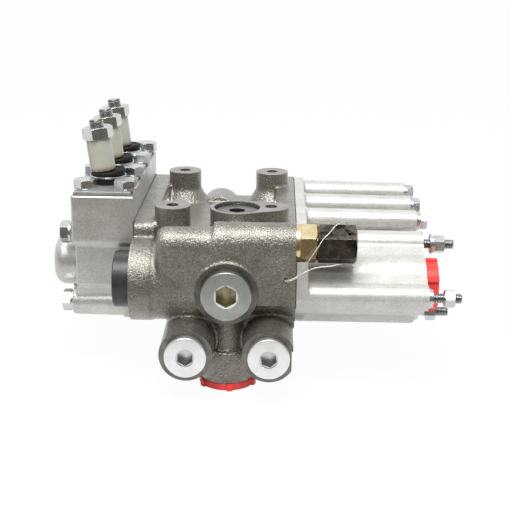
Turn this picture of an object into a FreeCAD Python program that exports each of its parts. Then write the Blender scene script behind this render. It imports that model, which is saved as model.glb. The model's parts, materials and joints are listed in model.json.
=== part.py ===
"""A three-spool hydraulic control valve of the tractor kind, lying with its mounting bosses upwards.

A cast-iron body carries three spools side by side. A lever cover closes its left end and a spring
cover its right end. X runs along the spools towards the spring cover, Y runs across the sections to
the rear and Z points up. The origin is the centre of the four mounting holes, on the boss faces.
All sizes are in millimetres.
"""

import FreeCAD, Part
import math
import os

VEC = FreeCAD.Vector
X_AXIS = VEC(1, 0, 0)
Y_AXIS = VEC(0, 1, 0)
Z_AXIS = VEC(0, 0, 1)

# Mounting pattern
MOUNT_SPACING_X = 79.0
MOUNT_SPACING_Y = 125.0
MOUNT_HOLE_D = 10.2
MOUNT_HOLE_DEPTH = 22.0
BOSS_D = 29.0

# Sections
SPOOL_PITCH = 50.0
SPOOL_DROP = 55.0
MIDDLE_SPOOL_Y = 12.5
SPOOL_D = 24.92
SPOOL_RUNNING_GAP = 0.04
SPOOL_TRAVEL = 8.0
GALLERY_D = 34.0
GALLERY_WIDTH = 8.0
SPOOL_GROOVE_D = 18.0
SPOOL_GROOVE_WIDTH = 12.0

# Cast body
BODY_LEFT_MARGIN = 30.0
BODY_RIGHT_MARGIN = 20.0
SLAB_THICK = 16.5
SLAB_DROP = 12.0
CORE_DROP = 27.0
BODY_DEPTH_BELOW_SPOOL = 38.0
SLAB_MARGIN_FRONT = 13.0
SLAB_MARGIN_REAR = 9.0
CORE_REAR_SETBACK = 16.0
SLAB_EDGE_ROUND = 7.0
BARREL_D = 63.0
FLANGE_BARREL_D = 65.0
SMALL_BARREL_D = 54.0
LUG_SIDE_SETBACK = 2.0
RIDGE_D_RIGHT = 32.0
RIDGE_D_LEFT = 27.0
RIDGE_STEP_X = -4.0
RIDGE_LEFT_SETBACK = 21.5
FRONT_FACE_REACH = 31.0
LEDGE_DROP = 10.0
HUMP_D = 36.0
HUMP_X = -7.5
HUMP_RISE = 5.5
PAD_D = 43.0
PAD_X = 12.5
PAD_FORWARD = 4.0

# Plugs
CENTRE_PLUG_X = 6.5
CENTRE_PLUG_THREAD_D = 33.0
CENTRE_PLUG_COLLAR_D = 38.8
CENTRE_PLUG_COLLAR_H = 6.0
CENTRE_PLUG_LENGTH = 26.0
CENTRE_PLUG_KEY = 15.5
CENTRE_BOSS_D = 49.0
CENTRE_BOSS_RISE = 2.5
LUG_PLUG_THREAD_D = 27.0
LUG_PLUG_COLLAR_D = 32.2
LUG_PLUG_COLLAR_H = 5.0
LUG_PLUG_LENGTH = 20.0
LUG_PLUG_KEY = 11.5
TOP_PLUG_D = 33.6
TOP_PLUG_GAP = 1.6
TOP_PLUG_LENGTH = 16.0
TOP_PLUG_SINK = 2.5
TOP_PLUG_KEY = 12.0
KEY_DEPTH = 9.0

# Lugs and ports
LUG_D = 41.4
LUG_LEFT_X = -23.5
LUG_RIGHT_SETBACK = 19.5
LUG_DROP = 98.0
LUG_FRONT_REACH = 22.0
LUG_REAR_SETBACK = 12.5
LUG_WEB_RISE = 7.0
LUG_WEB_SETBACK = 16.0
LUG_BORE_D = 18.0
PORT_FACE_DROP = 132.0
PORT_BOSS_D = 36.0
PORT_THREAD_D = 21.0
PORT_DRILL_D = 16.0
INLET_X = 6.5
INLET_FORWARD = 7.0
INLET_NECK_D = 28.0
INLET_BOSS_TOP_D = 37.0
INLET_BOSS_D = 43.0
INLET_BOSS_H = 25.0
INLET_THREAD_D = 26.5
CAP_PLUG_LENGTH = 9.0
CAP_THICK = 5.0
CAP_WALL = 1.6
CAP_OVERHANG = 1.0
CAP_RIB_RISE = 2.0
CAP_RIB_WIDTH = 5.0
CAP_RIB_COUNT = 6

# Front barrel, relief valve and seal wire
FRONT_AXIS_OFFSET = 50.0
BYPASS_BORE_D = 25.0
BYPASS_POPPET_LENGTH = 30.0
BYPASS_STROKE = 6.0
BYPASS_SEAT_D = 19.0
BYPASS_SEAT_X = 2.2
BYPASS_CAP_D = 44.6
BYPASS_CAP_THICK = 14.0
BYPASS_PLUG_LENGTH = 8.0
RELIEF_DROP = 18.5
RELIEF_SHANK_D = 18.0
RELIEF_SHANK_LENGTH = 30.0
RELIEF_COLLAR_D = 30.0
RELIEF_COLLAR_H = 2.5
RELIEF_KEY = 27.0
RELIEF_HEX_H = 13.5
RELIEF_CAP_LENGTH = 30.0
RELIEF_BORE_D = 10.0
RELIEF_ORIFICE_D = 5.0
RELIEF_STROKE = 2.0
WIRE_D = 0.9
WIRE_HOLE_D = 3.6
WIRE_LAY = 0.55
CAP_HOLE_D = 2.0

# Covers
GASKET_THICK = 0.8
COVER_LENGTH = 49.2
COVER_RISE = 9.0
COVER_BOX_DROP = 32.0
COVER_BLOCK_INSET = 2.0
COVER_BLOCK_DROP = 66.0
COVER_WALL = 6.0
DOME_D = 42.0
DOME_LENGTH = 20.0
DOME_ROUND = 9.0
UPPER_BOLT_RISE = 31.0
LOWER_BOLT_DROP = 27.5
LEFT_TUBE_D = 25.0
LEFT_TUBE_FACE_RISE = 2.0
FLANGE_THICK = 8.7
SPRING_COVER_LENGTH = 102.2
SPRING_TUBE_D = 40.0
SPRING_TUBE_SETBACK = 6.0
RIGHT_TUBE_D_ROOT = 20.4
RIGHT_TUBE_D_TIP = 18.4
CHAMBER_D = 32.0
CHAMBER_END_WALL = 8.0
DRAIN_BEHIND_AXIS = 12.5
DRAIN_BELOW_SPOOL = 4.2
DRAIN_PCD = 67.0
DRAIN_LOBE_D = 20.4
DRAIN_BARREL_D = 50.0
DRAIN_WEB = 13.0
DRAIN_BORE_D = 22.0
DRAIN_PORT_D = 26.5
DRAIN_RIM_D = 39.4
DRAIN_RIM_H = 10.5
STUD_LUG_D = 16.0
FRONT_NOTCH_GAP = 2.5
DRAIN_LOW_LOBE_SETBACK = 4.0

# Levers
LEVER_SETBACK = 25.7
LEVER_LEAN_DEG = 6.8
LEVER_ROD_D = 12.0
LEVER_TOP_REACH = 64.2
LEVER_END_D = 11.8
LEVER_GROOVE_D = 10.6
LEVER_GROOVE_LENGTH = 1.6
LEVER_BALL_D = 18.0
BALL_GAP = 0.06
LEVER_ARM_D = 9.0
LEVER_TIP_D = 10.0
SLOT_SIDE_GAP = 0.4
SLOT_MOUTH_WIDTH = 18.0
SPOOL_NOSE_LENGTH = 14.0
SEAT_D = 32.0
SEAT_DEPTH = 10.0
SEAT_MOUTH_D = 22.0
SEAT_WAIST_RISE = 4.5
SLEEVE_D = 20.6
SLEEVE_START = 22.4
SLEEVE_LENGTH = 25.9
SLEEVE_SLIT = 1.0
LEVER_NUT_KEY = 22.0
LEVER_NUT_H = 9.9
LEVER_NUT_TURN_DEG = 11.0

# Boot plate, boots and their bolts
PLATE_MARGIN = 2.0
PLATE_THICK = 2.5
PLATE_GASKET_THICK = 0.5
PLATE_HOLE_D = 24.0
PLATE_BOLT_ROW = 16.0
PLATE_BOLT_SETBACK = 23.2
BOOT_SHIFT = 1.5
BOOT_D = 29.0
BOOT_BASE_H = 5.4
BOOT_TOP_D = 20.5
BOOT_TOP_GAP = 0.4
BOOT_BORE_GAP = 0.35
BOOT_RING_D = 29.6
BOOT_RING_H = 1.2

# Fasteners: thread diameter, key width, head height, washer diameter and thickness
M10 = {"d": 10.0, "key": 16.0, "head": 6.6, "washer_d": 18.0, "washer_t": 1.6}
M8 = {"d": 8.0, "key": 13.0, "head": 5.3, "washer_d": 16.0, "washer_t": 1.6}
SPRING_WASHER_T = 2.0
CLEARANCE_HOLE_GAP = 0.5
THREAD_GAP = 0.05
PLATE_BOLT_LENGTH = 22.0
COVER_BOLT_GRIP = 18.0
STUD_GRIP = 16.0
NUT_M8_H = 8.0

# Springs
CENTRING_WIRE_D = 2.6
CENTRING_SPRING_D = 31.0
CENTRING_TURNS = 7
CUP_D = 31.0
CUP_THICK = 4.0
CUP_REACH = 54.0
REST_RING_THICK = 3.0
SPOOL_TAIL = 12.5
TAIL_SCREW_D = 8.0
BYPASS_WIRE_D = 2.0
BYPASS_SPRING_D = 18.0
BYPASS_TURNS = 8
RELIEF_WIRE_D = 1.3
RELIEF_SPRING_D = 8.6
RELIEF_TURNS = 8
SEAL_D = 31.0
SEAL_THICK = 3.0

# Values worked out from the ones above
body_left = -MOUNT_SPACING_X / 2 - BODY_LEFT_MARGIN
body_right = MOUNT_SPACING_X / 2 + BODY_RIGHT_MARGIN
spool_z = -SPOOL_DROP
spool_r = SPOOL_D / 2
bore_r = spool_r + SPOOL_RUNNING_GAP
spool_ys = [MIDDLE_SPOOL_Y + step * SPOOL_PITCH for step in (-1, 0, 1)]
bolt_ys = [MIDDLE_SPOOL_Y + step * SPOOL_PITCH for step in (-1.5, -0.5, 0.5, 1.5)]
front_axis_y = spool_ys[0] - FRONT_AXIS_OFFSET
front_face_y = front_axis_y - FRONT_FACE_REACH
relief_y = front_face_y + RIDGE_D_RIGHT / 2
inlet_y = front_axis_y - INLET_FORWARD
drain_y = front_axis_y + DRAIN_BEHIND_AXIS
pad_y = -MOUNT_SPACING_Y / 2 - PAD_FORWARD
ridge_left_x = body_left + RIDGE_LEFT_SETBACK
slab_front_y = bolt_ys[0] - SLAB_MARGIN_FRONT
slab_rear_y = bolt_ys[-1] + SLAB_MARGIN_REAR
body_bottom = spool_z - BODY_DEPTH_BELOW_SPOOL
core_top = -CORE_DROP
core_rear_y = slab_rear_y - CORE_REAR_SETBACK
lug_z = -LUG_DROP
lug_front_y = front_face_y - LUG_FRONT_REACH
lug_rear_y = slab_rear_y - LUG_REAR_SETBACK
lug_right_x = body_right - LUG_RIGHT_SETBACK
relief_z = -RELIEF_DROP
upper_bolt_z = spool_z + UPPER_BOLT_RISE
lower_bolt_z = spool_z - LOWER_BOLT_DROP
cover_right = body_left - GASKET_THICK
cover_left = cover_right - COVER_LENGTH
lever_x = cover_right - LEVER_SETBACK
plate_bolt_x = cover_right - PLATE_BOLT_SETBACK
boot_x = lever_x + BOOT_SHIFT
spring_cover_left = body_right + GASKET_THICK
spring_cover_right = spring_cover_left + SPRING_COVER_LENGTH
plate_bottom = COVER_RISE + PLATE_GASKET_THICK
plate_top = plate_bottom + PLATE_THICK
centre_boss_face_y = front_face_y - CENTRE_BOSS_RISE
lean = math.radians(LEVER_LEAN_DEG)
lever_axis = VEC(-math.sin(lean), 0, math.cos(lean))
boot_top_reach = SLEEVE_START - BOOT_TOP_GAP
tip_x = lever_x + SPOOL_DROP * math.tan(lean)
arm_reach = SPOOL_DROP / math.cos(lean)
drain_z = spool_z - DRAIN_BELOW_SPOOL
drain_angles = {"upper": 60.0, "front": 180.0, "lower": 300.0}
port_xs = [LUG_LEFT_X, lug_right_x]
port_face_z = -PORT_FACE_DROP


def drain_point(angle_deg):
    """Y and Z of a drain stud at an angle from +Y about the drain port."""
    angle = math.radians(angle_deg)
    radius = DRAIN_PCD / 2
    return drain_y + radius * math.cos(angle), drain_z + radius * math.sin(angle)


def cyl(r, start, axis, length):
    return Part.makeCylinder(r, length, start, axis)


def cyl_x(r, x0, x1, y, z):
    return cyl(r, VEC(x0, y, z), X_AXIS, x1 - x0)


def cyl_y(r, x, y0, y1, z):
    return cyl(r, VEC(x, y0, z), Y_AXIS, y1 - y0)


def cyl_z(r, x, y, z0, z1):
    return cyl(r, VEC(x, y, z0), Z_AXIS, z1 - z0)


def ring_x(r_out, r_in, x0, x1, y, z):
    return cyl_x(r_out, x0, x1, y, z).cut(cyl_x(r_in, x0, x1, y, z))


def cone_x(r0, r1, x0, x1, y, z):
    return Part.makeCone(r0, r1, x1 - x0, VEC(x0, y, z), X_AXIS)


def cone_z(r0, r1, x, y, z0, z1):
    return Part.makeCone(r0, r1, z1 - z0, VEC(x, y, z0), Z_AXIS)


def box(x0, x1, y0, y1, z0, z1):
    return Part.makeBox(x1 - x0, y1 - y0, z1 - z0, VEC(x0, y0, z0))


def fuse(shapes):
    first, rest = shapes[0], shapes[1:]
    return first.fuse(rest).removeSplitter() if rest else first


def fuse_in_turn(shapes):
    """Joins many crossing shapes one by one, with their seams left in, which keeps the result sound."""
    whole = shapes[0]
    for shape in shapes[1:]:
        whole = whole.fuse(shape)
    return whole


def cut(shape, tools):
    return shape.cut(tools) if tools else shape


def cut_in_turn(shape, tools):
    for tool in tools:
        shape = shape.cut(tool)
    return shape


def group(shapes):
    return Part.makeCompound(shapes)


def hexagon(key, start, axis, length, turn_deg=0.0):
    """A six-sided prism. A corner points along the first side direction, turned by turn_deg."""
    side = Z_AXIS if abs(axis.z) < 0.9 else X_AXIS
    across = side - axis * side.dot(axis)
    across.normalize()
    other = axis.cross(across)
    radius = key / math.sqrt(3)
    points = []
    for corner in range(6):
        angle = math.radians(turn_deg + 60 * corner)
        points.append(start + across * (radius * math.cos(angle)) + other * (radius * math.sin(angle)))
    points.append(points[0])
    return Part.Face(Part.makePolygon(points)).extrude(axis * length)


def chamfered_hexagon(key, start, axis, length, both_ends=False, turn_deg=0.0):
    """A nut or bolt head: a hexagon whose far end, or both ends, is turned to a 30 degree chamfer."""
    corner_r = key / math.sqrt(3)
    drop = (corner_r - key / 2) * math.tan(math.radians(30)) + 0.15
    radius = corner_r + 0.01
    shape = hexagon(key, start, axis, length, turn_deg)
    plain_start = start + axis * (drop if both_ends else 0)
    tall = cyl(radius, plain_start, axis, length - drop * (2 if both_ends else 1))
    far = Part.makeCone(radius, key / 2 * 0.97, drop, start + axis * (length - drop), axis)
    turned = [tall, far]
    if both_ends:
        turned.append(Part.makeCone(key / 2 * 0.97, radius, drop, start, axis))
    return shape.common(fuse(turned))


def ring_along(r_out, r_in, start, axis, length):
    return cyl(r_out, start, axis, length).cut(cyl(r_in, start, axis, length))


def wire_section(center, across, other, wire_d, sides):
    """The section of a thin wire as a polygon, which meshes quickly and closed along a long curve."""
    turns = [2 * math.pi * step / sides for step in range(sides)]
    corners = [center + (across * math.cos(turn) + other * math.sin(turn)) * (wire_d / 2) for turn in turns]
    return Part.makePolygon(corners + corners[:1])


def coil(wire_d, outer_d, x0, x1, y, z, turns):
    """A compression spring along X between x0 and x1."""
    mean_r = (outer_d - wire_d) / 2
    height = x1 - x0 - wire_d
    path = Part.makeHelix(height / turns, height, mean_r)
    profile = wire_section(VEC(mean_r, 0, 0), X_AXIS, Z_AXIS, wire_d, 12)
    solid = Part.Wire(path).makePipeShell([profile], True, True)
    solid.rotate(VEC(0, 0, 0), Y_AXIS, 90)
    solid.translate(VEC(x0 + wire_d / 2, y, z))
    return solid


def teardrop(x0, y0, r0, x1, y1, r1, z0, z1):
    """A vertical pad round two discs of different radius, joined by their outer tangents."""
    run = VEC(x1 - x0, y1 - y0, 0)
    lead = math.atan2(run.y, run.x)
    spread = math.acos((r0 - r1) / run.Length)
    points = []
    for sign in (1, -1):
        angle = lead + sign * spread
        pair = [VEC(x0 + r0 * math.cos(angle), y0 + r0 * math.sin(angle), z0)]
        pair.append(VEC(x1 + r1 * math.cos(angle), y1 + r1 * math.sin(angle), z0))
        points.append(pair)
    ring = [points[0][0], points[0][1], points[1][1], points[1][0], points[0][0]]
    web = Part.Face(Part.makePolygon(ring)).extrude(Z_AXIS * (z1 - z0))
    return fuse([cyl_z(r0, x0, y0, z0, z1), cyl_z(r1, x1, y1, z0, z1), web])


def rounded(shape, radius, keep):
    """Rounds the edges whose middle point passes the test keep."""
    edges = [edge for edge in shape.Edges if keep(edge.CenterOfMass)]
    return shape.makeFillet(radius, edges)


def near(value, target):
    return abs(value - target) < 0.01


mount_points = [
    (side_x * MOUNT_SPACING_X / 2, side_y * MOUNT_SPACING_Y / 2) for side_x in (-1, 1) for side_y in (-1, 1)
]


def end_slab(x0, x1):
    """One of the two thick end walls that the covers bolt to."""
    slab = box(x0, x1, slab_front_y, slab_rear_y, body_bottom, -SLAB_DROP)
    return rounded(slab, SLAB_EDGE_ROUND, lambda c: near(c.y, slab_front_y) and near(c.z, -SLAB_DROP))


def ridge(x0, x1, diameter, bottom_z):
    """A length of the relief valve's ridge: round on top, flat in front."""
    r = diameter / 2
    axis_y = front_face_y + r
    axis_z = relief_z - (RIDGE_D_RIGHT - diameter) / 4
    round_top = cyl_x(r, x0, x1, axis_y, axis_z)
    block = box(x0, x1, front_face_y, slab_front_y + 1, bottom_z, axis_z)
    return round_top, block


def body_solids():
    """The outside of the casting, before any hole."""
    left_ridge = ridge(ridge_left_x, RIDGE_STEP_X, RIDGE_D_LEFT, spool_z)
    right_ridge = ridge(RIDGE_STEP_X, body_right, RIDGE_D_RIGHT, spool_z - LEDGE_DROP)
    ridge_end = fuse(list(left_ridge))
    inner_y = front_face_y + RIDGE_D_LEFT
    ridge_end = rounded(
        ridge_end, 7.0, lambda c: near(c.x, ridge_left_x) and c.z > spool_z + 5 and c.y < inner_y)
    split_x = CENTRE_PLUG_X + CENTRE_BOSS_D / 4
    shapes = [
        end_slab(body_left, body_left + SLAB_THICK),
        end_slab(body_right - SLAB_THICK, body_right),
        box(body_left, body_right, slab_front_y, core_rear_y, body_bottom, core_top),
        cyl_x(FLANGE_BARREL_D / 2, body_left, body_left + SLAB_THICK, front_axis_y, spool_z),
        cyl_x(BARREL_D / 2, body_left, split_x, front_axis_y, spool_z),
        cyl_x(SMALL_BARREL_D / 2, split_x, body_right, front_axis_y, spool_z),
        ridge_end,
        *right_ridge,
        box(ridge_left_x + 8, body_right, front_face_y + 18, slab_front_y + 1, body_bottom + 4, relief_z),
        cyl_y(CENTRE_BOSS_D / 2, CENTRE_PLUG_X, centre_boss_face_y, slab_front_y, spool_z),
        cyl_y(HUMP_D / 2, HUMP_X, core_rear_y - 30, core_rear_y + 5, core_top + HUMP_RISE - HUMP_D / 2),
    ]
    past_end = box(body_right, body_right + BOSS_D, slab_front_y, slab_rear_y, core_top - 2, 0)
    for x, y in mount_points:
        shapes.append(cyl_z(BOSS_D / 2, x, y, core_top - 5, 0))
        if y > 0:
            foot = cone_z(BOSS_D / 2 + 7, BOSS_D / 2, x, y, core_top - 1, core_top + 11)
            shapes.append(foot.cut(past_end))
    shapes.append(cyl_x(STUD_LUG_D / 2, (body_left + body_right) / 2, body_right, *drain_points["front"]))
    shapes.append(cyl_x(DRAIN_LOBE_D / 2, body_right - SLAB_THICK, body_right, *drain_points["lower"]))
    front_x, front_y = MOUNT_SPACING_X / 2, -MOUNT_SPACING_Y / 2
    shapes.append(teardrop(PAD_X, pad_y, PAD_D / 2, front_x, front_y, BOSS_D / 2, core_top - 5, 0))
    side_x = body_right - LUG_SIDE_SETBACK
    beyond = box(side_x, side_x + LUG_D, lug_front_y - 1, lug_rear_y + 1, lug_z - LUG_D, body_bottom + 3)
    past_face = box(body_right, body_right + LUG_D, lug_front_y - 1, lug_rear_y + 1, lug_z - LUG_D, 0)
    for x in port_xs:
        lug = cyl_y(LUG_D / 2, x, lug_front_y, lug_rear_y, lug_z)
        shapes.append(lug.cut(beyond).cut(past_face))
        web_half = LUG_D / 2 - 1
        web = box(x - web_half, x + web_half, front_face_y + LUG_WEB_SETBACK, lug_rear_y - 4, lug_z,
                  lug_z + LUG_WEB_RISE)
        shapes.append(web.cut(beyond).cut(past_face))
        for y in spool_ys:
            shapes.append(cyl_z(PORT_BOSS_D / 2, x, y, port_face_z, lug_z))
    inlet_top = port_face_z + INLET_BOSS_H
    shapes.append(cyl_z(INLET_NECK_D / 2, INLET_X, inlet_y, inlet_top - 1, spool_z - 20))
    shapes.append(cone_z(INLET_BOSS_D / 2, INLET_BOSS_TOP_D / 2, INLET_X, inlet_y, port_face_z, inlet_top))
    return shapes


def body_holes():
    """Every bore, gallery and tapped hole of the casting."""
    tools = []
    for x, y in mount_points:
        tools.append(cyl_z(MOUNT_HOLE_D / 2, x, y, -MOUNT_HOLE_DEPTH, 1))
    for y in spool_ys:
        tools.append(cyl_x(bore_r, body_left - 1, body_right + 1, y, spool_z))
        for x in (LUG_LEFT_X, CENTRE_PLUG_X, lug_right_x):
            half = GALLERY_WIDTH / 2
            tools.append(cyl_x(GALLERY_D / 2, x - half, x + half, y, spool_z))
        for x in port_xs:
            tools.append(cyl_z(PORT_THREAD_D / 2, x, y, port_face_z - 1, port_face_z + CAP_PLUG_LENGTH + 6))
            tools.append(cyl_z(PORT_DRILL_D / 2, x, y, port_face_z, spool_z - bore_r + 1))
        for x0, x1 in ((body_left, body_left + SEAL_THICK), (body_right - SEAL_THICK, body_right)):
            tools.append(cyl_x(SEAL_D / 2, x0 - 0.01, x1 + 0.01, y, spool_z))
    for x in port_xs:
        thread_end = lug_front_y + LUG_PLUG_LENGTH + 2
        tools.append(cyl_y(LUG_PLUG_THREAD_D / 2, x, lug_front_y - 1, thread_end, lug_z))
        tools.append(cyl_y(LUG_BORE_D / 2, x, lug_front_y, front_axis_y, lug_z))
        tools.append(cyl_z(LUG_BORE_D / 2, x, front_axis_y - 4, lug_z, spool_z))
    inlet_end = port_face_z + CAP_PLUG_LENGTH + 8
    tools.append(cyl_z(INLET_THREAD_D / 2, INLET_X, inlet_y, port_face_z - 1, inlet_end))
    tools.append(cyl_z(LUG_BORE_D / 2, INLET_X, inlet_y, port_face_z, spool_z))
    tools.append(cyl_x(BYPASS_BORE_D / 2, body_left - 1, BYPASS_SEAT_X, front_axis_y, spool_z))
    tools.append(cyl_x(BYPASS_SEAT_D / 2, BYPASS_SEAT_X - 1, body_right + 1, front_axis_y, spool_z))
    plug_end = centre_boss_face_y + CENTRE_PLUG_LENGTH
    tools.append(
        cyl_y(CENTRE_PLUG_THREAD_D / 2, CENTRE_PLUG_X, centre_boss_face_y - 1, plug_end - 4, spool_z))
    tools.append(cyl_z(TOP_PLUG_D / 2 + TOP_PLUG_GAP, PAD_X, pad_y, -TOP_PLUG_SINK - TOP_PLUG_LENGTH / 2, 1))
    tools.append(cyl_z(TOP_PLUG_D / 2 - 2, PAD_X, pad_y, -TOP_PLUG_SINK - TOP_PLUG_LENGTH - 2, 0))
    relief_depth = body_right - RELIEF_SHANK_LENGTH - 4
    relief_r = RELIEF_SHANK_D / 2 + THREAD_GAP
    tools.append(cyl_x(relief_r, relief_depth, body_right + 1, relief_y, relief_z))
    tools.append(cyl(4.0, VEC(relief_depth + 5, relief_y, relief_z), VEC(0, 0.3, -1), 30))
    right_bolts = [(y, upper_bolt_z) for y in bolt_ys[1:]] + [(y, lower_bolt_z) for y in bolt_ys[1:]]
    for y, z in right_bolts:
        tools.append(cyl_x(M8["d"] / 2 + THREAD_GAP, body_right - COVER_BOLT_GRIP, body_right + 1, y, z))
    for y in bolt_ys:
        for z in (upper_bolt_z, lower_bolt_z):
            reach = body_left + COVER_BOLT_GRIP
            tools.append(cyl_x(M10["d"] / 2 + THREAD_GAP, body_left - 1, reach, y, z))
    for y, z in drain_points.values():
        tools.append(cyl_x(M8["d"] / 2 + THREAD_GAP, body_right - STUD_GRIP, body_right + 1, y, z))
    tools.append(cyl_y(WIRE_HOLE_D / 2, wire_hole.x, front_face_y - 1, front_face_y + 8, wire_hole.z))
    return tools


def valve_body():
    return cut_in_turn(fuse_in_turn(body_solids()), body_holes())


wire_hole = VEC(body_right - 7.7, front_face_y, relief_z - 25.0)
wire_twist_end = wire_hole + VEC(7.6, -2.0, 3.3)


def twisted_points(phase_deg):
    """One strand of the twisted pair, from inside the body's hole to the end of the twist."""
    points = [wire_hole + VEC(WIRE_LAY * math.cos(math.radians(phase_deg)), depth, 0) for depth in (6.0, 2.0)]
    run = wire_twist_end - wire_hole
    steps = 14
    for step in range(steps + 1):
        part = step / steps
        center = wire_hole + run * part - Y_AXIS * (1.6 * math.sin(math.pi * part))
        angle = math.radians(phase_deg + 900 * part)
        points.append(center + VEC(0, -1.2, 0) + VEC(-0.3, 0.3, 1) * (WIRE_LAY * math.sin(angle))
                      + VEC(0.3, 1, 0) * (WIRE_LAY * math.cos(angle)))
    return points


def strand(points):
    """A soft wire through the points, lofted through sections that don't turn about the wire."""
    curve = Part.BSplineCurve()
    curve.interpolate(points)
    stations = curve.discretize(Number=70)
    ahead = stations[1:] + [stations[-1] * 2 - stations[-2]]
    behind = [stations[0] * 2 - stations[1]] + stations[:-1]
    across = Z_AXIS
    sections = []
    for center, before, after in zip(stations, behind, ahead):
        along = (after - before).normalize()
        across = (across - along * across.dot(along)).normalize()
        sections.append(wire_section(center, across, along.cross(across), WIRE_D, 8))
    return Part.makeLoft(sections, True, True)


def cap_holes():
    """Where the wire enters the black cap and the spare hole beside it: a point on a flat and its normal."""
    up_front = VEC(0, -math.sin(math.radians(30)), math.cos(math.radians(30)))
    up_rear = VEC(0, -up_front.y, up_front.z)
    down_front = VEC(0, up_front.y, -up_front.z)
    middle = VEC(relief_cap_x + RELIEF_CAP_LENGTH - 5.5, relief_y, relief_z)
    reach = RELIEF_KEY / 2
    along = VEC(0, -up_front.z, up_front.y)
    return {
        "over": (middle + up_rear * reach, up_rear),
        "spare": (middle + up_front * reach + along * 2.0 - X_AXIS * 0.5, up_front),
        "under": (
            middle + down_front * reach - X_AXIS * 2.5 + VEC(0, up_front.z, up_front.y) * 6.0,
            down_front,
        ),
    }


def seal_wire():
    """The soft wire of the lead seal: twisted at the body, then one strand over and one under the cap."""
    over, over_out = cap_holes()["over"]
    under, under_out = cap_holes()["under"]
    first = twisted_points(0) + [
        VEC(62.6, -121.6, -35.4),
        VEC(66.6, -121.6, -29.6),
        VEC(71.0, -121.0, -23.2),
        VEC(75.8, -119.5, -16.2),
        VEC(80.0, -116.9, -10.1),
        VEC(84.4, -112.4, -7.0),
        VEC(90.5, -105.6, -2.0),
        VEC(95.0, -102.2, -1.2),
        over + over_out * 2.4 - X_AXIS * 1.2,
        over + over_out * 0.4,
        over - over_out * 2.5,
    ]
    second = twisted_points(180) + [
        VEC(63.2, -120.8, -37.6),
        VEC(67.6, -120.6, -35.2),
        VEC(77.1, -119.9, -31.9),
        VEC(86.7, -119.3, -30.9),
        VEC(92.6, -117.6, -30.1),
        under + under_out * 1.8 - X_AXIS * 1.6,
        under + under_out * 0.3,
        under - under_out * 2.5,
    ]
    return group([strand(first), strand(second)])


def left_face_prism(x0, x1):
    """The outline that the lever cover and its gasket share with the body."""
    return box(x0, x1, slab_front_y, slab_rear_y, body_bottom, -SLAB_DROP)


def spool_and_bolt_holes(x0, x1, hole_r, bolt_d, bolt_places):
    tools = [cyl_x(hole_r, x0, x1, y, spool_z) for y in spool_ys]
    bolt_r = bolt_d / 2 + CLEARANCE_HOLE_GAP
    tools += [cyl_x(bolt_r, x0, x1, y, z) for y, z in bolt_places]
    return tools


left_bolts = [(y, z) for y in bolt_ys for z in (upper_bolt_z, lower_bolt_z)]
right_bolts = [(y, z) for y in bolt_ys[1:] for z in (upper_bolt_z, lower_bolt_z)]
drain_points = {name: drain_point(angle) for name, angle in drain_angles.items()}


def lever_cover_gasket():
    x0, x1 = cover_right, body_left
    sheet = left_face_prism(x0, x1)
    tools = spool_and_bolt_holes(x0 - 1, x1 + 1, CHAMBER_D / 2, M10["d"], left_bolts)
    tools.append(cyl_x(BYPASS_CAP_D / 2 + 1, x0 - 1, x1 + 1, front_axis_y, spool_z))
    return cut(sheet, tools)


def lever_cover():
    x0, x1 = cover_left, cover_right
    y0, y1 = slab_front_y, slab_rear_y + 0.5
    upper = box(x0, x1, y0, y1, -COVER_BOX_DROP, COVER_RISE)
    upper = rounded(upper, 4.0, lambda c: near(c.z, -COVER_BOX_DROP) and (near(c.x, x0) or near(c.y, y0)))
    inset = COVER_BLOCK_INSET
    lower = box(x0 + inset, x1, y0 + inset, y1 - inset, -COVER_BLOCK_DROP, -COVER_BOX_DROP + 5)
    shapes = [upper, lower]
    for y in bolt_ys:
        r = LEFT_TUBE_D / 2
        shapes.append(cone_x(r - 1, r, x0 - LEFT_TUBE_FACE_RISE, x1, y, lower_bolt_z))
        shapes.append(box(x0 + inset, x1, y - r + 3, y + r - 3, lower_bolt_z, -COVER_BLOCK_DROP + 1))
        face_r = M10["washer_d"] / 2 + 0.5
        shapes.append(cyl_x(face_r, x0 - LEFT_TUBE_FACE_RISE, x0 + 1, y, upper_bolt_z))
    shapes.append(box(x1 - 9, x1, y0, slab_rear_y, body_bottom, -COVER_BLOCK_DROP + 1))
    for y in spool_ys:
        dome = cyl_x(DOME_D / 2, x0 - DOME_LENGTH, x0 + 3, y, spool_z)
        shapes.append(rounded(dome, DOME_ROUND, lambda c: near(c.x, x0 - DOME_LENGTH)))
    whole = fuse(shapes)
    tools = spool_and_bolt_holes(x0 - DOME_LENGTH + COVER_WALL, x1 + 1, CHAMBER_D / 2, 0, [])
    bolt_r = M10["d"] / 2 + CLEARANCE_HOLE_GAP
    for y, z in left_bolts:
        tools.append(cyl_x(bolt_r, x0 - LEFT_TUBE_FACE_RISE - 1, x1 + 1, y, z))
    cap_room = BYPASS_CAP_D / 2 + 1
    tools.append(cyl_x(cap_room, body_left - BYPASS_CAP_THICK - 1, x1 + 1, front_axis_y, spool_z))
    for y in spool_ys:
        half_y = CHAMBER_D / 2
        tools.append(box(x0 + COVER_WALL, x1 - COVER_WALL, y - half_y, y + half_y, spool_z, -SEAT_DEPTH - 5))
        tools.append(cyl_z(SEAT_D / 2 - 2, lever_x, y, -SEAT_DEPTH - 6, COVER_RISE + 1))
        tools.append(cyl_z(SEAT_D / 2 + THREAD_GAP, lever_x, y, -SEAT_DEPTH, COVER_RISE + 1))
    for x, y in plate_bolt_points():
        depth = COVER_RISE - PLATE_BOLT_LENGTH + plate_top - COVER_RISE
        tools.append(cyl_z(M10["d"] / 2 + THREAD_GAP, x, y, depth - 1, COVER_RISE + 1))
    return cut(whole, tools)


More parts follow.
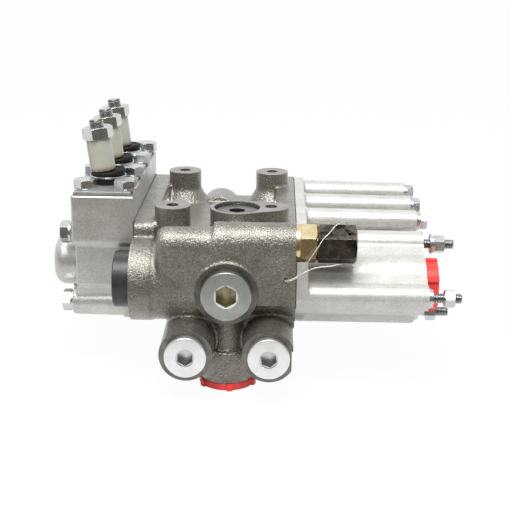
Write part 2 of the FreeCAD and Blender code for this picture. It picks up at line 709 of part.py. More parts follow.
def plate_bolt_points():
    return [(plate_bolt_x + side * PLATE_BOLT_ROW, y) for side in (-1, 1) for y in bolt_ys]


def plate_sheet(z0, z1, margin):
    x0, x1 = cover_left + margin, cover_right - margin
    sheet = box(x0, x1, slab_front_y + margin, slab_rear_y - margin, z0, z1)
    tools = [cyl_z(M10["d"] / 2 + CLEARANCE_HOLE_GAP, x, y, z0 - 1, z1 + 1) for x, y in plate_bolt_points()]
    tools += [cyl_z(PLATE_HOLE_D / 2, lever_x, y, z0 - 1, z1 + 1) for y in spool_ys]
    return cut(sheet, tools)


def hex_bolt(start, axis, size, length, turn_deg=0.0):
    """A bolt whose head stands on start and whose shank runs the other way."""
    head = chamfered_hexagon(size["key"], start, axis, size["head"], False, turn_deg)
    shank = cyl(size["d"] / 2, start - axis * length, axis, length)
    return fuse([head, shank])


def washer(start, axis, size, thick=None):
    hole_r = size["d"] / 2 + CLEARANCE_HOLE_GAP / 2
    return ring_along(size["washer_d"] / 2, hole_r, start, axis, thick or size["washer_t"])


def spring_washer(start, axis, size):
    """A split lock washer."""
    outer = size["key"] / 2 + 0.6
    ring = ring_along(outer, size["d"] / 2 + CLEARANCE_HOLE_GAP / 2, start, axis, SPRING_WASHER_T)
    side = Z_AXIS if abs(axis.z) < 0.9 else X_AXIS
    other = axis.cross(side)
    corner = start + side * (size["d"] / 2) - other * 0.4 - axis * 0.1
    points = [corner, corner + side * 8, corner + side * 8 + other * 0.8, corner + other * 0.8, corner]
    slit = Part.Face(Part.makePolygon(points)).extrude(axis * (SPRING_WASHER_T + 0.2))
    return ring.cut(slit)


def plate_bolts():
    start_z = plate_top + M10["washer_t"]
    return group([
        hex_bolt(VEC(x, y, start_z), Z_AXIS, M10, PLATE_BOLT_LENGTH, 20 + 17 * index)
        for index, (x, y) in enumerate(plate_bolt_points())
    ])


def plate_washers():
    return group([washer(VEC(x, y, plate_top), Z_AXIS, M10) for x, y in plate_bolt_points()])


def lever_cover_bolts():
    face = cover_left - LEFT_TUBE_FACE_RISE
    start_x = face - SPRING_WASHER_T
    length = body_left + COVER_BOLT_GRIP - 1 - start_x
    return group([
        hex_bolt(VEC(start_x, y, z), X_AXIS * -1, M10, length, 8 + 23 * index)
        for index, (y, z) in enumerate(left_bolts)
    ])


def lever_cover_washers():
    face = cover_left - LEFT_TUBE_FACE_RISE
    return group([spring_washer(VEC(face, y, z), X_AXIS * -1, M10) for y, z in left_bolts])


def drain_block(x0, x1, names):
    """The drain port's barrel with its stud tubes and the webs between them."""
    shapes = [cyl_x(DRAIN_BARREL_D / 2, x0, x1, drain_y, drain_z)]
    shapes += [cyl_x(DRAIN_LOBE_D / 2, x0, x1, *drain_points[name]) for name in names]
    others = [name for name in names if name != "front"]
    shapes += [web_between(drain_points[name], drain_points["front"], x0, x1) for name in others]
    return fuse_in_turn(shapes)


def web_between(first, second, x0, x1):
    """A flat web along X between two tubes."""
    start, end = VEC(x0, *first), VEC(x0, *second)
    side = X_AXIS.cross(end - start)
    side.normalize()
    offset = side * (DRAIN_WEB / 2)
    ring = [start + offset, end + offset, end - offset, start - offset, start + offset]
    return Part.Face(Part.makePolygon(ring)).extrude(X_AXIS * (x1 - x0))


def relief_room(x0, x1):
    """Space that the flange and the gasket leave round the relief valve."""
    return cyl_x(RELIEF_KEY / math.sqrt(3) + FRONT_NOTCH_GAP, x0, x1, relief_y, relief_z)


def flange_sheet(x0, x1):
    """The outline that the spring cover's flange and its gasket share."""
    front_y = drain_points["front"][0] - DRAIN_LOBE_D / 2 + 0.6
    sheet = fuse_in_turn([
        box(x0, x1, slab_front_y, slab_rear_y, body_bottom, -SLAB_DROP - 1),
        box(x0, x1, front_y, slab_front_y + 1, drain_points["front"][1], relief_z),
        drain_block(x0, x1, ("upper", "front", "lower")),
    ])
    return sheet.cut(relief_room(x0 - 1, x1 + 1))


def spring_cover_gasket():
    x0, x1 = body_right, spring_cover_left
    places = right_bolts + list(drain_points.values())
    tools = spool_and_bolt_holes(x0 - 1, x1 + 1, CHAMBER_D / 2, M8["d"], places)
    tools.append(cyl_x(BYPASS_SEAT_D / 2, x0 - 1, x1 + 1, front_axis_y, spool_z))
    tools.append(cyl_x(DRAIN_BORE_D / 2, x0 - 1, x1 + 1, drain_y, drain_z))
    return cut_in_turn(flange_sheet(x0, x1), tools)


def spring_cover():
    x0, x1 = spring_cover_left, spring_cover_right
    tube_end = x1 - SPRING_TUBE_SETBACK
    low_end = x1 - DRAIN_LOW_LOBE_SETBACK
    shapes = [
        flange_sheet(x0, x0 + FLANGE_THICK),
        drain_block(x0 + 1, low_end, ("upper", "front", "lower")),
        drain_block(low_end - 1, x1, ("upper", "front")),
    ]
    for y in spool_ys:
        shapes.append(cyl_x(SPRING_TUBE_D / 2, x0 + 1, tube_end, y, spool_z))
    for y, z in right_bolts:
        shapes.append(cone_x(RIGHT_TUBE_D_ROOT / 2, RIGHT_TUBE_D_TIP / 2, x0 + 1, x1, y, z))
    for y in bolt_ys[1:]:
        web = 4.0
        shapes.append(box(x0 + 1, tube_end, y - web, y + web, lower_bolt_z, upper_bolt_z))
    whole = fuse_in_turn(shapes)
    tools = [cyl_x(CHAMBER_D / 2, x0 - 1, tube_end - CHAMBER_END_WALL, y, spool_z) for y in spool_ys]
    bolt_r = M8["d"] / 2 + CLEARANCE_HOLE_GAP
    tools += [cyl_x(bolt_r, x0 - 1, x1 + 1, y, z) for y, z in right_bolts + list(drain_points.values())]
    tools.append(cyl_x(DRAIN_BORE_D / 2, x0 - 1, x1 - 10, drain_y, drain_z))
    tools.append(cyl_x(DRAIN_PORT_D / 2, x1 - CAP_PLUG_LENGTH - 6, x1 + 1, drain_y, drain_z))
    return cut_in_turn(whole, tools)


def spring_cover_bolts():
    start_x = spring_cover_right + M8["washer_t"] + SPRING_WASHER_T
    length = start_x - (body_right - COVER_BOLT_GRIP + 1)
    return group([
        hex_bolt(VEC(start_x, y, z), X_AXIS, M8, length, 12 + 21 * index)
        for index, (y, z) in enumerate(right_bolts)
    ])


def spring_cover_washers():
    pairs = []
    for y, z in right_bolts:
        face = VEC(spring_cover_right, y, z)
        pairs.append(washer(face, X_AXIS, M8))
        pairs.append(spring_washer(face + X_AXIS * M8["washer_t"], X_AXIS, M8))
    return group(pairs)


# Where the loosely fitted parts of each drain stud sit, counted from the spring cover's end face
drain_stack = {
    "upper": {"washer": 6.0, "nut": 9.6, "end": 25.0},
    "front": {"washer": 0.0, "nut": 12.5, "end": 26.0},
    "lower": {"washer": -DRAIN_LOW_LOBE_SETBACK, "nut": 6.0, "end": 24.0},
}


def drain_studs():
    studs = []
    for name, (y, z) in drain_points.items():
        x0 = body_right - STUD_GRIP + 1
        studs.append(cyl_x(M8["d"] / 2, x0, spring_cover_right + drain_stack[name]["end"], y, z))
    return group(studs)


def drain_nuts():
    nuts = []
    for index, (name, (y, z)) in enumerate(drain_points.items()):
        start = VEC(spring_cover_right + drain_stack[name]["nut"], y, z)
        nut = chamfered_hexagon(M8["key"], start, X_AXIS, NUT_M8_H, True, 20 * index)
        nuts.append(nut.cut(cyl(M8["d"] / 2 + THREAD_GAP, start - X_AXIS, X_AXIS, NUT_M8_H + 2)))
    return group(nuts)


def drain_washers():
    washers = []
    for name, (y, z) in drain_points.items():
        start = VEC(spring_cover_right + drain_stack[name]["washer"], y, z)
        washers.append(washer(start, X_AXIS, M8))
        washers.append(spring_washer(start + X_AXIS * M8["washer_t"], X_AXIS, M8))
    return group(washers)


def port_cap(center, axis, thread_d, boss_d, turn_deg=0.0, thick=CAP_THICK):
    """A ribbed plastic plug cap: a hollow stem pushed into the port under a ribbed rim."""
    rim_r = boss_d / 2 + CAP_OVERHANG
    stem_r = thread_d / 2 - THREAD_GAP
    rim = cyl(rim_r, center, axis, thick)
    stem = cyl(stem_r, center - axis * CAP_PLUG_LENGTH, axis, CAP_PLUG_LENGTH + 1)
    shapes = [rim, stem]
    side = Y_AXIS
    other = axis.cross(side)
    for rib in range(CAP_RIB_COUNT):
        angle = math.radians(turn_deg + 360 / CAP_RIB_COUNT * rib)
        out = side * math.cos(angle) + other * math.sin(angle)
        cross = axis.cross(out)
        half = CAP_RIB_WIDTH / 2
        inner = center + out * (rim_r - 3)
        outer = center + out * (rim_r + CAP_RIB_RISE)
        ring = [inner + cross * half, outer + cross * half, outer - cross * half, inner - cross * half]
        ring.append(ring[0])
        shapes.append(Part.Face(Part.makePolygon(ring)).extrude(axis * thick))
    hollow_start = center - axis * (CAP_PLUG_LENGTH + 1)
    hollow = cyl(stem_r - CAP_WALL, hollow_start, axis, CAP_PLUG_LENGTH + 1 + thick / 2)
    return fuse(shapes).cut(hollow)


def inlet_cap():
    center = VEC(INLET_X, inlet_y, port_face_z)
    return port_cap(center, Z_AXIS * -1, INLET_THREAD_D, INLET_BOSS_D, 173)


def drain_cap():
    center = VEC(spring_cover_right, drain_y, drain_z)
    return port_cap(center, X_AXIS, DRAIN_PORT_D, DRAIN_RIM_D - 2 * CAP_OVERHANG, 30, DRAIN_RIM_H)


def port_caps():
    caps = []
    for x in port_xs:
        for y in spool_ys:
            caps.append(port_cap(VEC(x, y, port_face_z), Z_AXIS * -1, PORT_THREAD_D, PORT_BOSS_D, 15))
    return group(caps)


def socket_plug(center, axis, thread_d, collar_d, collar_h, length, key, turn_deg=0.0):
    """A screw plug with a collar that stands on center, a thread behind it and a hexagon socket."""
    collar = cyl(collar_d / 2, center, axis, collar_h)
    collar = collar.makeFillet(0.8, [e for e in collar.Edges
                                     if (e.CenterOfMass - center).dot(axis) > collar_h - 0.1
                                     and len(e.Vertexes) == 1])
    thread = cyl(thread_d / 2 - THREAD_GAP, center - axis * length, axis, length + 0.5)
    face = center + axis * collar_h
    socket = hexagon(key, face - axis * KEY_DEPTH, axis, KEY_DEPTH + 1, turn_deg)
    mouth_r = key / math.sqrt(3) + 0.5
    mouth = cyl(mouth_r, face - axis * 0.8, axis, 2)
    return fuse([collar, thread]).cut(fuse([socket, mouth]))


def centre_plug():
    center = VEC(CENTRE_PLUG_X, centre_boss_face_y, spool_z)
    return socket_plug(center, Y_AXIS * -1, CENTRE_PLUG_THREAD_D, CENTRE_PLUG_COLLAR_D, CENTRE_PLUG_COLLAR_H,
                       CENTRE_PLUG_LENGTH - 7, CENTRE_PLUG_KEY)


def lug_plugs():
    return group([
        socket_plug(VEC(x, lug_front_y, lug_z), Y_AXIS * -1, LUG_PLUG_THREAD_D, LUG_PLUG_COLLAR_D,
                    LUG_PLUG_COLLAR_H, LUG_PLUG_LENGTH, LUG_PLUG_KEY, 12 * index)
        for index, x in enumerate(port_xs)
    ])


def top_plug():
    face_z = -TOP_PLUG_SINK
    body = cyl_z(TOP_PLUG_D / 2, PAD_X, pad_y, face_z - TOP_PLUG_LENGTH / 2, face_z)
    stem = cyl_z(TOP_PLUG_D / 2 - 2 - THREAD_GAP, PAD_X, pad_y, face_z - TOP_PLUG_LENGTH, face_z - 1)
    socket = hexagon(TOP_PLUG_KEY, VEC(PAD_X, pad_y, face_z - KEY_DEPTH), Z_AXIS, KEY_DEPTH + 1, 30)
    return fuse([body, stem]).cut(socket)


def bypass_cap():
    """The black cap that closes the left end of the bypass bore."""
    face_x = body_left
    head = cyl_x(BYPASS_CAP_D / 2, face_x - BYPASS_CAP_THICK, face_x, front_axis_y, spool_z)
    head = rounded(head, 1.0, lambda c: near(c.x, face_x - BYPASS_CAP_THICK))
    plug_r = BYPASS_BORE_D / 2 - THREAD_GAP
    plug = cyl_x(plug_r, face_x - 1, face_x + BYPASS_PLUG_LENGTH, front_axis_y, spool_z)
    return fuse([head, plug])


def bypass_poppet():
    """The piston that unloads the pump flow, hollow towards its spring."""
    x0 = CENTRE_PLUG_X - BYPASS_POPPET_LENGTH - 2
    x1 = x0 + BYPASS_POPPET_LENGTH
    r = BYPASS_BORE_D / 2 - SPOOL_RUNNING_GAP
    piston = cyl_x(r, x0, x1 - 6, front_axis_y, spool_z)
    nose = cone_x(r, r - 5, x1 - 6, x1, front_axis_y, spool_z)
    hollow = cyl_x(BYPASS_SPRING_D / 2 + 0.5, x0 - 1, x0 + 12, front_axis_y, spool_z)
    return fuse([piston, nose]).cut(hollow)


def bypass_spring():
    x0 = body_left + BYPASS_PLUG_LENGTH + 0.1
    x1 = CENTRE_PLUG_X - BYPASS_POPPET_LENGTH - 2 + 12 - 0.1
    return coil(BYPASS_WIRE_D, BYPASS_SPRING_D, x0, x1, front_axis_y, spool_z, BYPASS_TURNS)


relief_shank_x = body_right - RELIEF_SHANK_LENGTH
relief_hex_x = body_right + RELIEF_COLLAR_H
relief_cap_x = relief_hex_x + RELIEF_HEX_H + 0.4


def relief_body():
    """The brass cartridge of the relief valve."""
    shank = cyl_x(RELIEF_SHANK_D / 2, relief_shank_x, body_right + 0.5, relief_y, relief_z)
    collar = cyl_x(RELIEF_COLLAR_D / 2, body_right, relief_hex_x + 0.5, relief_y, relief_z)
    head = chamfered_hexagon(RELIEF_KEY, VEC(relief_hex_x, relief_y, relief_z), X_AXIS, RELIEF_HEX_H, True)
    stub = cyl_x(8.0, relief_hex_x + RELIEF_HEX_H - 1, relief_cap_x + 8, relief_y, relief_z)
    bore = cyl_x(RELIEF_BORE_D / 2, relief_shank_x + 4, relief_cap_x + 9, relief_y, relief_z)
    orifice = cyl_x(RELIEF_ORIFICE_D / 2, relief_shank_x - 1, relief_shank_x + 5, relief_y, relief_z)
    return fuse([shank, collar, head, stub]).cut(fuse([bore, orifice]))


def relief_cap():
    """The black sealed cap over the adjusting screw, with two cross holes for the wire."""
    start = VEC(relief_cap_x, relief_y, relief_z)
    cap = chamfered_hexagon(RELIEF_KEY, start, X_AXIS, RELIEF_CAP_LENGTH, True)
    hollow_end = relief_cap_x + RELIEF_CAP_LENGTH - 9
    hollow = cyl_x(8.0 + THREAD_GAP, relief_cap_x - 1, hollow_end, relief_y, relief_z)
    drills = [cyl(CAP_HOLE_D / 2, point + out, out * -1, 5) for point, out in cap_holes().values()]
    return cut_in_turn(cap.cut(hollow), drills)


def relief_screw():
    x0 = relief_cap_x - 4
    r = RELIEF_BORE_D / 2 - THREAD_GAP
    screw = cyl_x(r, x0, relief_cap_x + 16, relief_y, relief_z)
    slot = box(relief_cap_x + 14, relief_cap_x + 17, relief_y - 8, relief_y + 8, relief_z - 0.8,
               relief_z + 0.8)
    return screw.cut(slot)


def relief_poppet():
    seat_x = relief_shank_x + 4
    r = RELIEF_BORE_D / 2 - SPOOL_RUNNING_GAP
    guide = cyl_x(r, seat_x + 5, seat_x + 13, relief_y, relief_z)
    cone = cone_x(RELIEF_ORIFICE_D / 2 - 0.7, r, seat_x - 1, seat_x + 5, relief_y, relief_z)
    return fuse([cone, guide])


def relief_spring():
    x0 = relief_shank_x + 17.1
    return coil(RELIEF_WIRE_D, RELIEF_SPRING_D, x0, relief_cap_x - 4.1, relief_y, relief_z, RELIEF_TURNS)


def spool(y):
    """A spool: lands and grooves, a nose slotted for the lever and a threaded tail hole."""
    x0 = tip_x - SPOOL_NOSE_LENGTH
    x1 = body_right + SPOOL_TAIL
    rod = cyl_x(spool_r, x0, x1, y, spool_z)
    tools = []
    for x in (LUG_LEFT_X - 10, CENTRE_PLUG_X, lug_right_x - 10):
        half = SPOOL_GROOVE_WIDTH / 2
        tools.append(ring_x(spool_r + 1, SPOOL_GROOVE_D / 2, x - half, x + half, y, spool_z))
    half_slot = LEVER_TIP_D / 2 + SLOT_SIDE_GAP
    floor = spool_z - LEVER_TIP_D / 2 - 3.5
    mouth_z = spool_z + LEVER_TIP_D / 2
    top = spool_z + spool_r + 1
    side = spool_r + 1
    tools.append(box(tip_x - half_slot, tip_x + half_slot, y - side, y + side, floor, top))
    half_mouth = SLOT_MOUTH_WIDTH / 2
    tools.append(box(tip_x - half_mouth, tip_x + half_mouth, y - side, y + side, mouth_z, top))
    tools.append(cyl_x(TAIL_SCREW_D / 2 + THREAD_GAP, x1 - 14, x1 + 1, y, spool_z))
    return cut(rod, tools)


cup_x = spring_cover_left + CUP_REACH


def spool_screw(y):
    """The long screw that holds the outer spring cup on the spool's tail."""
    x0 = body_right + SPOOL_TAIL - 12
    shank = cyl_x(TAIL_SCREW_D / 2, x0, cup_x + CUP_THICK, y, spool_z)
    start = VEC(cup_x + CUP_THICK, y, spool_z)
    return fuse([shank, chamfered_hexagon(M8["key"], start, X_AXIS, M8["head"])])


def spring_cup(y):
    r = CUP_D / 2
    cup = ring_x(r, TAIL_SCREW_D / 2 + THREAD_GAP, cup_x, cup_x + CUP_THICK, y, spool_z)
    inner_r = (CENTRING_SPRING_D - 2 * CENTRING_WIRE_D) / 2 - 0.4
    hub = ring_x(inner_r, TAIL_SCREW_D / 2 + THREAD_GAP, cup_x - 8, cup_x + 0.5, y, spool_z)
    return fuse([cup, hub])


def spool_spring(y):
    x0 = spring_cover_left + REST_RING_THICK + 0.1
    return coil(CENTRING_WIRE_D, CENTRING_SPRING_D, x0, cup_x - 0.1, y, spool_z, CENTRING_TURNS)


def rest_rings():
    """The three rings at the body's end that the centring springs push on."""
    x0 = spring_cover_left
    r_out = CHAMBER_D / 2 - THREAD_GAP
    return group([ring_x(r_out, bore_r + 0.1, x0, x0 + REST_RING_THICK, y, spool_z) for y in spool_ys])


def spool_seals():
    """Two lip seals for each spool, one in each end face of the body."""
    seals = []
    for y in spool_ys:
        for x0 in (body_left, body_right - SEAL_THICK):
            x1 = x0 + SEAL_THICK - 0.05
            seals.append(ring_x(SEAL_D / 2 - THREAD_GAP, bore_r, x0 + 0.05, x1, y, spool_z))
    return group(seals)


def ball_seats():
    """The lower half socket under each lever ball."""
    return group([seat_ring(y, -SEAT_DEPTH, 0, -SEAT_WAIST_RISE) for y in spool_ys])


def ball_retainers():
    """The upper half socket that the boot plate holds down on each lever ball."""
    return group([seat_ring(y, 0, COVER_RISE, SEAT_WAIST_RISE) for y in spool_ys])


def seat_ring(y, z0, z1, waist_z):
    block = cyl_z(SEAT_D / 2, lever_x, y, z0, z1)
    socket_r = LEVER_BALL_D / 2 + BALL_GAP
    socket = Part.makeSphere(socket_r, VEC(lever_x, y, 0))
    waist_r = math.sqrt(socket_r ** 2 - waist_z ** 2)
    far_z = z0 if waist_z < 0 else z1
    if waist_z < 0:
        mouth = cone_z(SEAT_MOUTH_D / 2, waist_r, lever_x, y, far_z, waist_z)
    else:
        mouth = cone_z(waist_r, SEAT_MOUTH_D / 2, lever_x, y, waist_z, far_z)
    return block.cut(fuse([socket, mouth]))


def lever(y):
    """The lever: threaded rod with the end that takes a handle, pivot ball, lower arm and spool tip.

    A groove just inside the nut parts the rod's thread from the thread of the free end.
    """
    pivot = VEC(lever_x, y, 0)
    rod_reach = SLEEVE_START + SLEEVE_LENGTH + LEVER_NUT_H + 0.1
    groove_reach = rod_reach - LEVER_GROOVE_LENGTH
    rod = cyl(LEVER_ROD_D / 2, pivot, lever_axis, groove_reach)
    groove_start = pivot + lever_axis * (groove_reach - 1)
    groove = cyl(LEVER_GROOVE_D / 2, groove_start, lever_axis, LEVER_GROOVE_LENGTH + 2)
    end = cyl(LEVER_END_D / 2, pivot + lever_axis * rod_reach, lever_axis, LEVER_TOP_REACH - rod_reach)
    rim = [e for e in end.Edges if e.CenterOfMass.z > rod_reach and len(e.Vertexes) == 1]
    end = end.makeChamfer(1.0, rim)
    ball = Part.makeSphere(LEVER_BALL_D / 2, pivot)
    arm = cyl(LEVER_ARM_D / 2, pivot - lever_axis * (arm_reach - 14), lever_axis, arm_reach - 14)
    neck = Part.makeCone(2.6, LEVER_ARM_D / 2, 14, pivot - lever_axis * arm_reach, lever_axis)
    tip = Part.makeSphere(LEVER_TIP_D / 2, pivot - lever_axis * arm_reach)
    return fuse([rod, groove, end, ball, arm, neck, tip])


def lever_sleeve(y):
    """The split plastic sleeve between the boot and the nut."""
    start = VEC(lever_x, y, 0) + lever_axis * SLEEVE_START
    tube = ring_along(SLEEVE_D / 2, LEVER_ROD_D / 2 + THREAD_GAP, start, lever_axis, SLEEVE_LENGTH)
    slit = box(-1, SLEEVE_D, -SLEEVE_SLIT / 2, SLEEVE_SLIT / 2, -1, SLEEVE_LENGTH + 1)
    slit.translate(VEC(LEVER_ROD_D / 2 - 1, 0, 0))
    slit.rotate(VEC(0, 0, 0), Z_AXIS, -140)
    slit.rotate(VEC(0, 0, 0), Y_AXIS, -LEVER_LEAN_DEG)
    slit.translate(start)
    return tube.cut(slit)


def lever_nut(y):
    start = VEC(lever_x, y, 0) + lever_axis * (SLEEVE_START + SLEEVE_LENGTH)
    nut = chamfered_hexagon(LEVER_NUT_KEY, start, lever_axis, LEVER_NUT_H, True, -90 - LEVER_NUT_TURN_DEG)
    return nut.cut(cyl(LEVER_ROD_D / 2 + THREAD_GAP, start - lever_axis, lever_axis, LEVER_NUT_H + 2))


def boot(y):
    """The rubber boot: a round foot on the plate and a cone that grips the lever under the sleeve."""
    foot = cyl_z(BOOT_D / 2, boot_x, y, plate_top, plate_top + BOOT_BASE_H)
    cone_base_z = plate_top + BOOT_BASE_H
    top_center = VEC(lever_x, y, 0) + lever_axis * boot_top_reach
    low = Part.Wire([Part.makeCircle(BOOT_D / 2 - 1.2, VEC(boot_x, y, cone_base_z), Z_AXIS)])
    high = Part.Wire([Part.makeCircle(BOOT_TOP_D / 2, top_center, lever_axis)])
    cone = Part.makeLoft([low, high], True, True)
    lever_room = cyl(LEVER_ROD_D / 2 + BOOT_BORE_GAP, VEC(lever_x, y, 0), lever_axis, SLEEVE_START + 10)
    hollow = cone_z(BOOT_D / 2 - 3.5, LEVER_ROD_D / 2 + 1.5, boot_x - 0.5, y, plate_top - 0.1,
                    boot_top_reach - 2.5)
    return fuse([foot, cone]).cut(fuse([lever_room, hollow]))


def boot_rings():
    """The bright wire ring that clamps each boot's foot."""
    z0 = plate_top + BOOT_BASE_H
    inner = BOOT_D / 2 - 1.2
    return group([
        ring_along(BOOT_RING_D / 2, inner + 0.3, VEC(boot_x, y, z0), Z_AXIS, BOOT_RING_H) for y in spool_ys
    ])


def build():
    """Every node of the valve, by name."""
    nodes = {
        "valve_body": valve_body(),
        "lever_cover": lever_cover(),
        "spring_cover": spring_cover(),
        "lever_cover_gasket": lever_cover_gasket(),
        "spring_cover_gasket": spring_cover_gasket(),
        "boot_plate": plate_sheet(plate_bottom, plate_top, PLATE_MARGIN),
        "plate_gasket": plate_sheet(COVER_RISE, plate_bottom, PLATE_MARGIN),
        "plate_bolts": plate_bolts(),
        "plate_washers": plate_washers(),
        "lever_cover_bolts": lever_cover_bolts(),
        "lever_cover_washers": lever_cover_washers(),
        "spring_cover_bolts": spring_cover_bolts(),
        "spring_cover_washers": spring_cover_washers(),
        "drain_studs": drain_studs(),
        "drain_nuts": drain_nuts(),
        "drain_washers": drain_washers(),
        "inlet_cap": inlet_cap(),
        "drain_cap": drain_cap(),
        "port_caps": port_caps(),
        "centre_plug": centre_plug(),
        "lug_plugs": lug_plugs(),
        "top_plug": top_plug(),
        "bypass_cap": bypass_cap(),
        "bypass_poppet": bypass_poppet(),
        "bypass_spring": bypass_spring(),
        "relief_body": relief_body(),
        "relief_cap": relief_cap(),
        "relief_screw": relief_screw(),
        "relief_poppet": relief_poppet(),
        "relief_spring": relief_spring(),
        "seal_wire": seal_wire(),
        "spring_rest_rings": rest_rings(),
        "spool_seals": spool_seals(),
        "ball_seats": ball_seats(),
        "ball_retainers": ball_retainers(),
        "boot_rings": boot_rings(),
    }
    for number, y in enumerate(spool_ys, start=1):
        nodes[f"spool_{number}"] = spool(y)
        nodes[f"spool_screw_{number}"] = spool_screw(y)
        nodes[f"spring_cup_{number}"] = spring_cup(y)
        nodes[f"spool_spring_{number}"] = spool_spring(y)
        nodes[f"lever_{number}"] = lever(y)
        nodes[f"lever_sleeve_{number}"] = lever_sleeve(y)
        nodes[f"lever_nut_{number}"] = lever_nut(y)
        nodes[f"boot_{number}"] = boot(y)
    return nodes


def main():
    os.makedirs("parts", exist_ok=True)
    for name, shape in build().items():
        if not shape.isValid():
            print("not valid:", name)
        print(name, len(shape.Solids), round(shape.Volume, 1))
        shape.exportStep(os.path.join("parts", name + ".step"))


main()
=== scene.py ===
# %% [markdown]
# # A three-spool hydraulic control valve
# This file dresses the finished CAD model of a tractor control valve. The CAD part gives every piece
# its place and size. Here each piece gets the softened edges, the threads and the surface of the real
# one. The frame is loaded first, because everything else is placed around it.

# %% Load the frame
import json
import math
import bpy
import numpy as np
from mathutils import Matrix, Vector


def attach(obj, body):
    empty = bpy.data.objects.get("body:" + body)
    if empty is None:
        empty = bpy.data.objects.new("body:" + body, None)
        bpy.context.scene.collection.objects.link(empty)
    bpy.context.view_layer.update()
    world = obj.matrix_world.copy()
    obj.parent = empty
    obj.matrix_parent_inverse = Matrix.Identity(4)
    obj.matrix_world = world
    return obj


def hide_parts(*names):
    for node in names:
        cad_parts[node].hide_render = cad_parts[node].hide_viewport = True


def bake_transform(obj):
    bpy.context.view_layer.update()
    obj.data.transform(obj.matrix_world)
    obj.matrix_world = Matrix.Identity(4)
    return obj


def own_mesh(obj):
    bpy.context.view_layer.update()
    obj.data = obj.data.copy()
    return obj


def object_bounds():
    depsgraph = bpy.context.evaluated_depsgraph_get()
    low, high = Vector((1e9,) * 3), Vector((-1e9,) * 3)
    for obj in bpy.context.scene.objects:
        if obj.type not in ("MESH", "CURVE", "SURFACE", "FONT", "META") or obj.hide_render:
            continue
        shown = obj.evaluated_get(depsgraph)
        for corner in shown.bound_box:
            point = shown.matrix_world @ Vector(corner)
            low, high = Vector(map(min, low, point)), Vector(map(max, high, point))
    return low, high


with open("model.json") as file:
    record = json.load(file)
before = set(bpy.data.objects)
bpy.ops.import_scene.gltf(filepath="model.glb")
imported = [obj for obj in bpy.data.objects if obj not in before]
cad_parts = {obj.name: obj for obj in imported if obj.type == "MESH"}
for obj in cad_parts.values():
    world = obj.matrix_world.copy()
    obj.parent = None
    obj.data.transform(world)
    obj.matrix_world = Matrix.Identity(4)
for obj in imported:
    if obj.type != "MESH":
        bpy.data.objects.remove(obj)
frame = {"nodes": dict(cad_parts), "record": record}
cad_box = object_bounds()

nodes = frame["nodes"]
bodies = frame["record"]["behaviour"]["bodies"]
body_of = {node: body for body, names in bodies.items() for node in names}
slot_of = {part["node"]: part["material_slot"] for part in frame["record"]["subparts"]}
print("CAD nodes:", len(nodes))

# %% [markdown]
# The camera stands where the photographer stood: a long lens, a little above the valve, looking down
# about seventeen degrees. The small turn and roll come from lining up the straight edges of the covers.

# %% Camera
camera_place = (0.04192, -0.90658, 0.22301)
down, turn, roll = 17.37, 1.003, 0.77
camera_data = bpy.data.cameras.new("camera")
camera_data.lens = 76.8
camera_data.sensor_width = 36.0
camera_data.clip_start = 0.05
camera = bpy.data.objects.new("camera", camera_data)
bpy.context.scene.collection.objects.link(camera)
aim = Matrix.Rotation(math.radians(turn), 4, "Z") @ Matrix.Rotation(math.radians(90 - down), 4, "X")
aim = aim @ Matrix.Rotation(math.radians(roll), 4, "Z")
camera.matrix_world = Matrix.Translation(camera_place) @ aim
bpy.context.scene.camera = camera
print("camera at", [round(c, 3) for c in camera.location])

# %% [markdown]
# Bright metal has hardly any colour of its own: it shows the room. So the room matters more than the
# lamps. Behind and above the valve stands a white backdrop, and the side where the camera stands is dim
# and warm. That is why the tubes are white on top and grey in front. The world gets one gradient along
# the slanted direction to the backdrop. The camera sees plain white all round, and so does metal
# wherever it mirrors the side where the backdrop hangs.

# %% World
scene = bpy.context.scene
scene.view_settings.view_transform = "Standard"
to_backdrop = (0.0, 0.62, 0.78)
room_stops = ((0.2, (0.155, 0.13, 0.1)), (0.45, (0.24, 0.22, 0.2)), (0.62, 0.6), (0.8, 1))
room_strength = 1.05


def add_node(tree, kind, **settings):
    """A new node with its settings, such as the operation of a Math node."""
    node = tree.nodes.new(kind)
    for key, value in settings.items():
        setattr(node, key, value)
    return node


def connect(tree, *pairs):
    """Joins each output to the input that it is paired with."""
    for output, socket in pairs:
        tree.links.new(output, socket)


def set_stops(ramp, stops):
    """Gives a colour ramp its places and colours. A single number stands for a grey."""
    elements = ramp.color_ramp.elements
    while len(elements) < len(stops):
        elements.new(0.5)
    for element, (place, color) in zip(elements, stops):
        element.position = place
        element.color = (*color, 1) if isinstance(color, tuple) else (color, color, color, 1)


world = bpy.data.worlds.new("studio_tent")
scene.world = world
world.use_nodes = True
sky = world.node_tree
sky.nodes.clear()
sky_out = add_node(sky, "ShaderNodeOutputWorld")
sky_mix = add_node(sky, "ShaderNodeMixShader")
sky_plain = add_node(sky, "ShaderNodeBackground")
sky_room = add_node(sky, "ShaderNodeBackground")
sky_path = add_node(sky, "ShaderNodeLightPath")
sky_place = add_node(sky, "ShaderNodeTexCoord")
sky_lean = add_node(sky, "ShaderNodeVectorMath", operation="DOT_PRODUCT")
sky_half = add_node(sky, "ShaderNodeMath", operation="MULTIPLY_ADD")
sky_ramp = add_node(sky, "ShaderNodeValToRGB")
sky_hung = add_node(sky, "ShaderNodeMapRange")
sky_mirror = add_node(sky, "ShaderNodeMath", operation="MULTIPLY")
sky_white = add_node(sky, "ShaderNodeMath", operation="MAXIMUM")
sky_lean.inputs[1].default_value = to_backdrop
sky_half.inputs[1].default_value = 0.5
sky_half.inputs[2].default_value = 0.5
set_stops(sky_ramp, room_stops)
sky_hung.inputs["From Min"].default_value = room_stops[2][0]
sky_hung.inputs["From Max"].default_value = room_stops[3][0]
sky_room.inputs["Strength"].default_value = room_strength
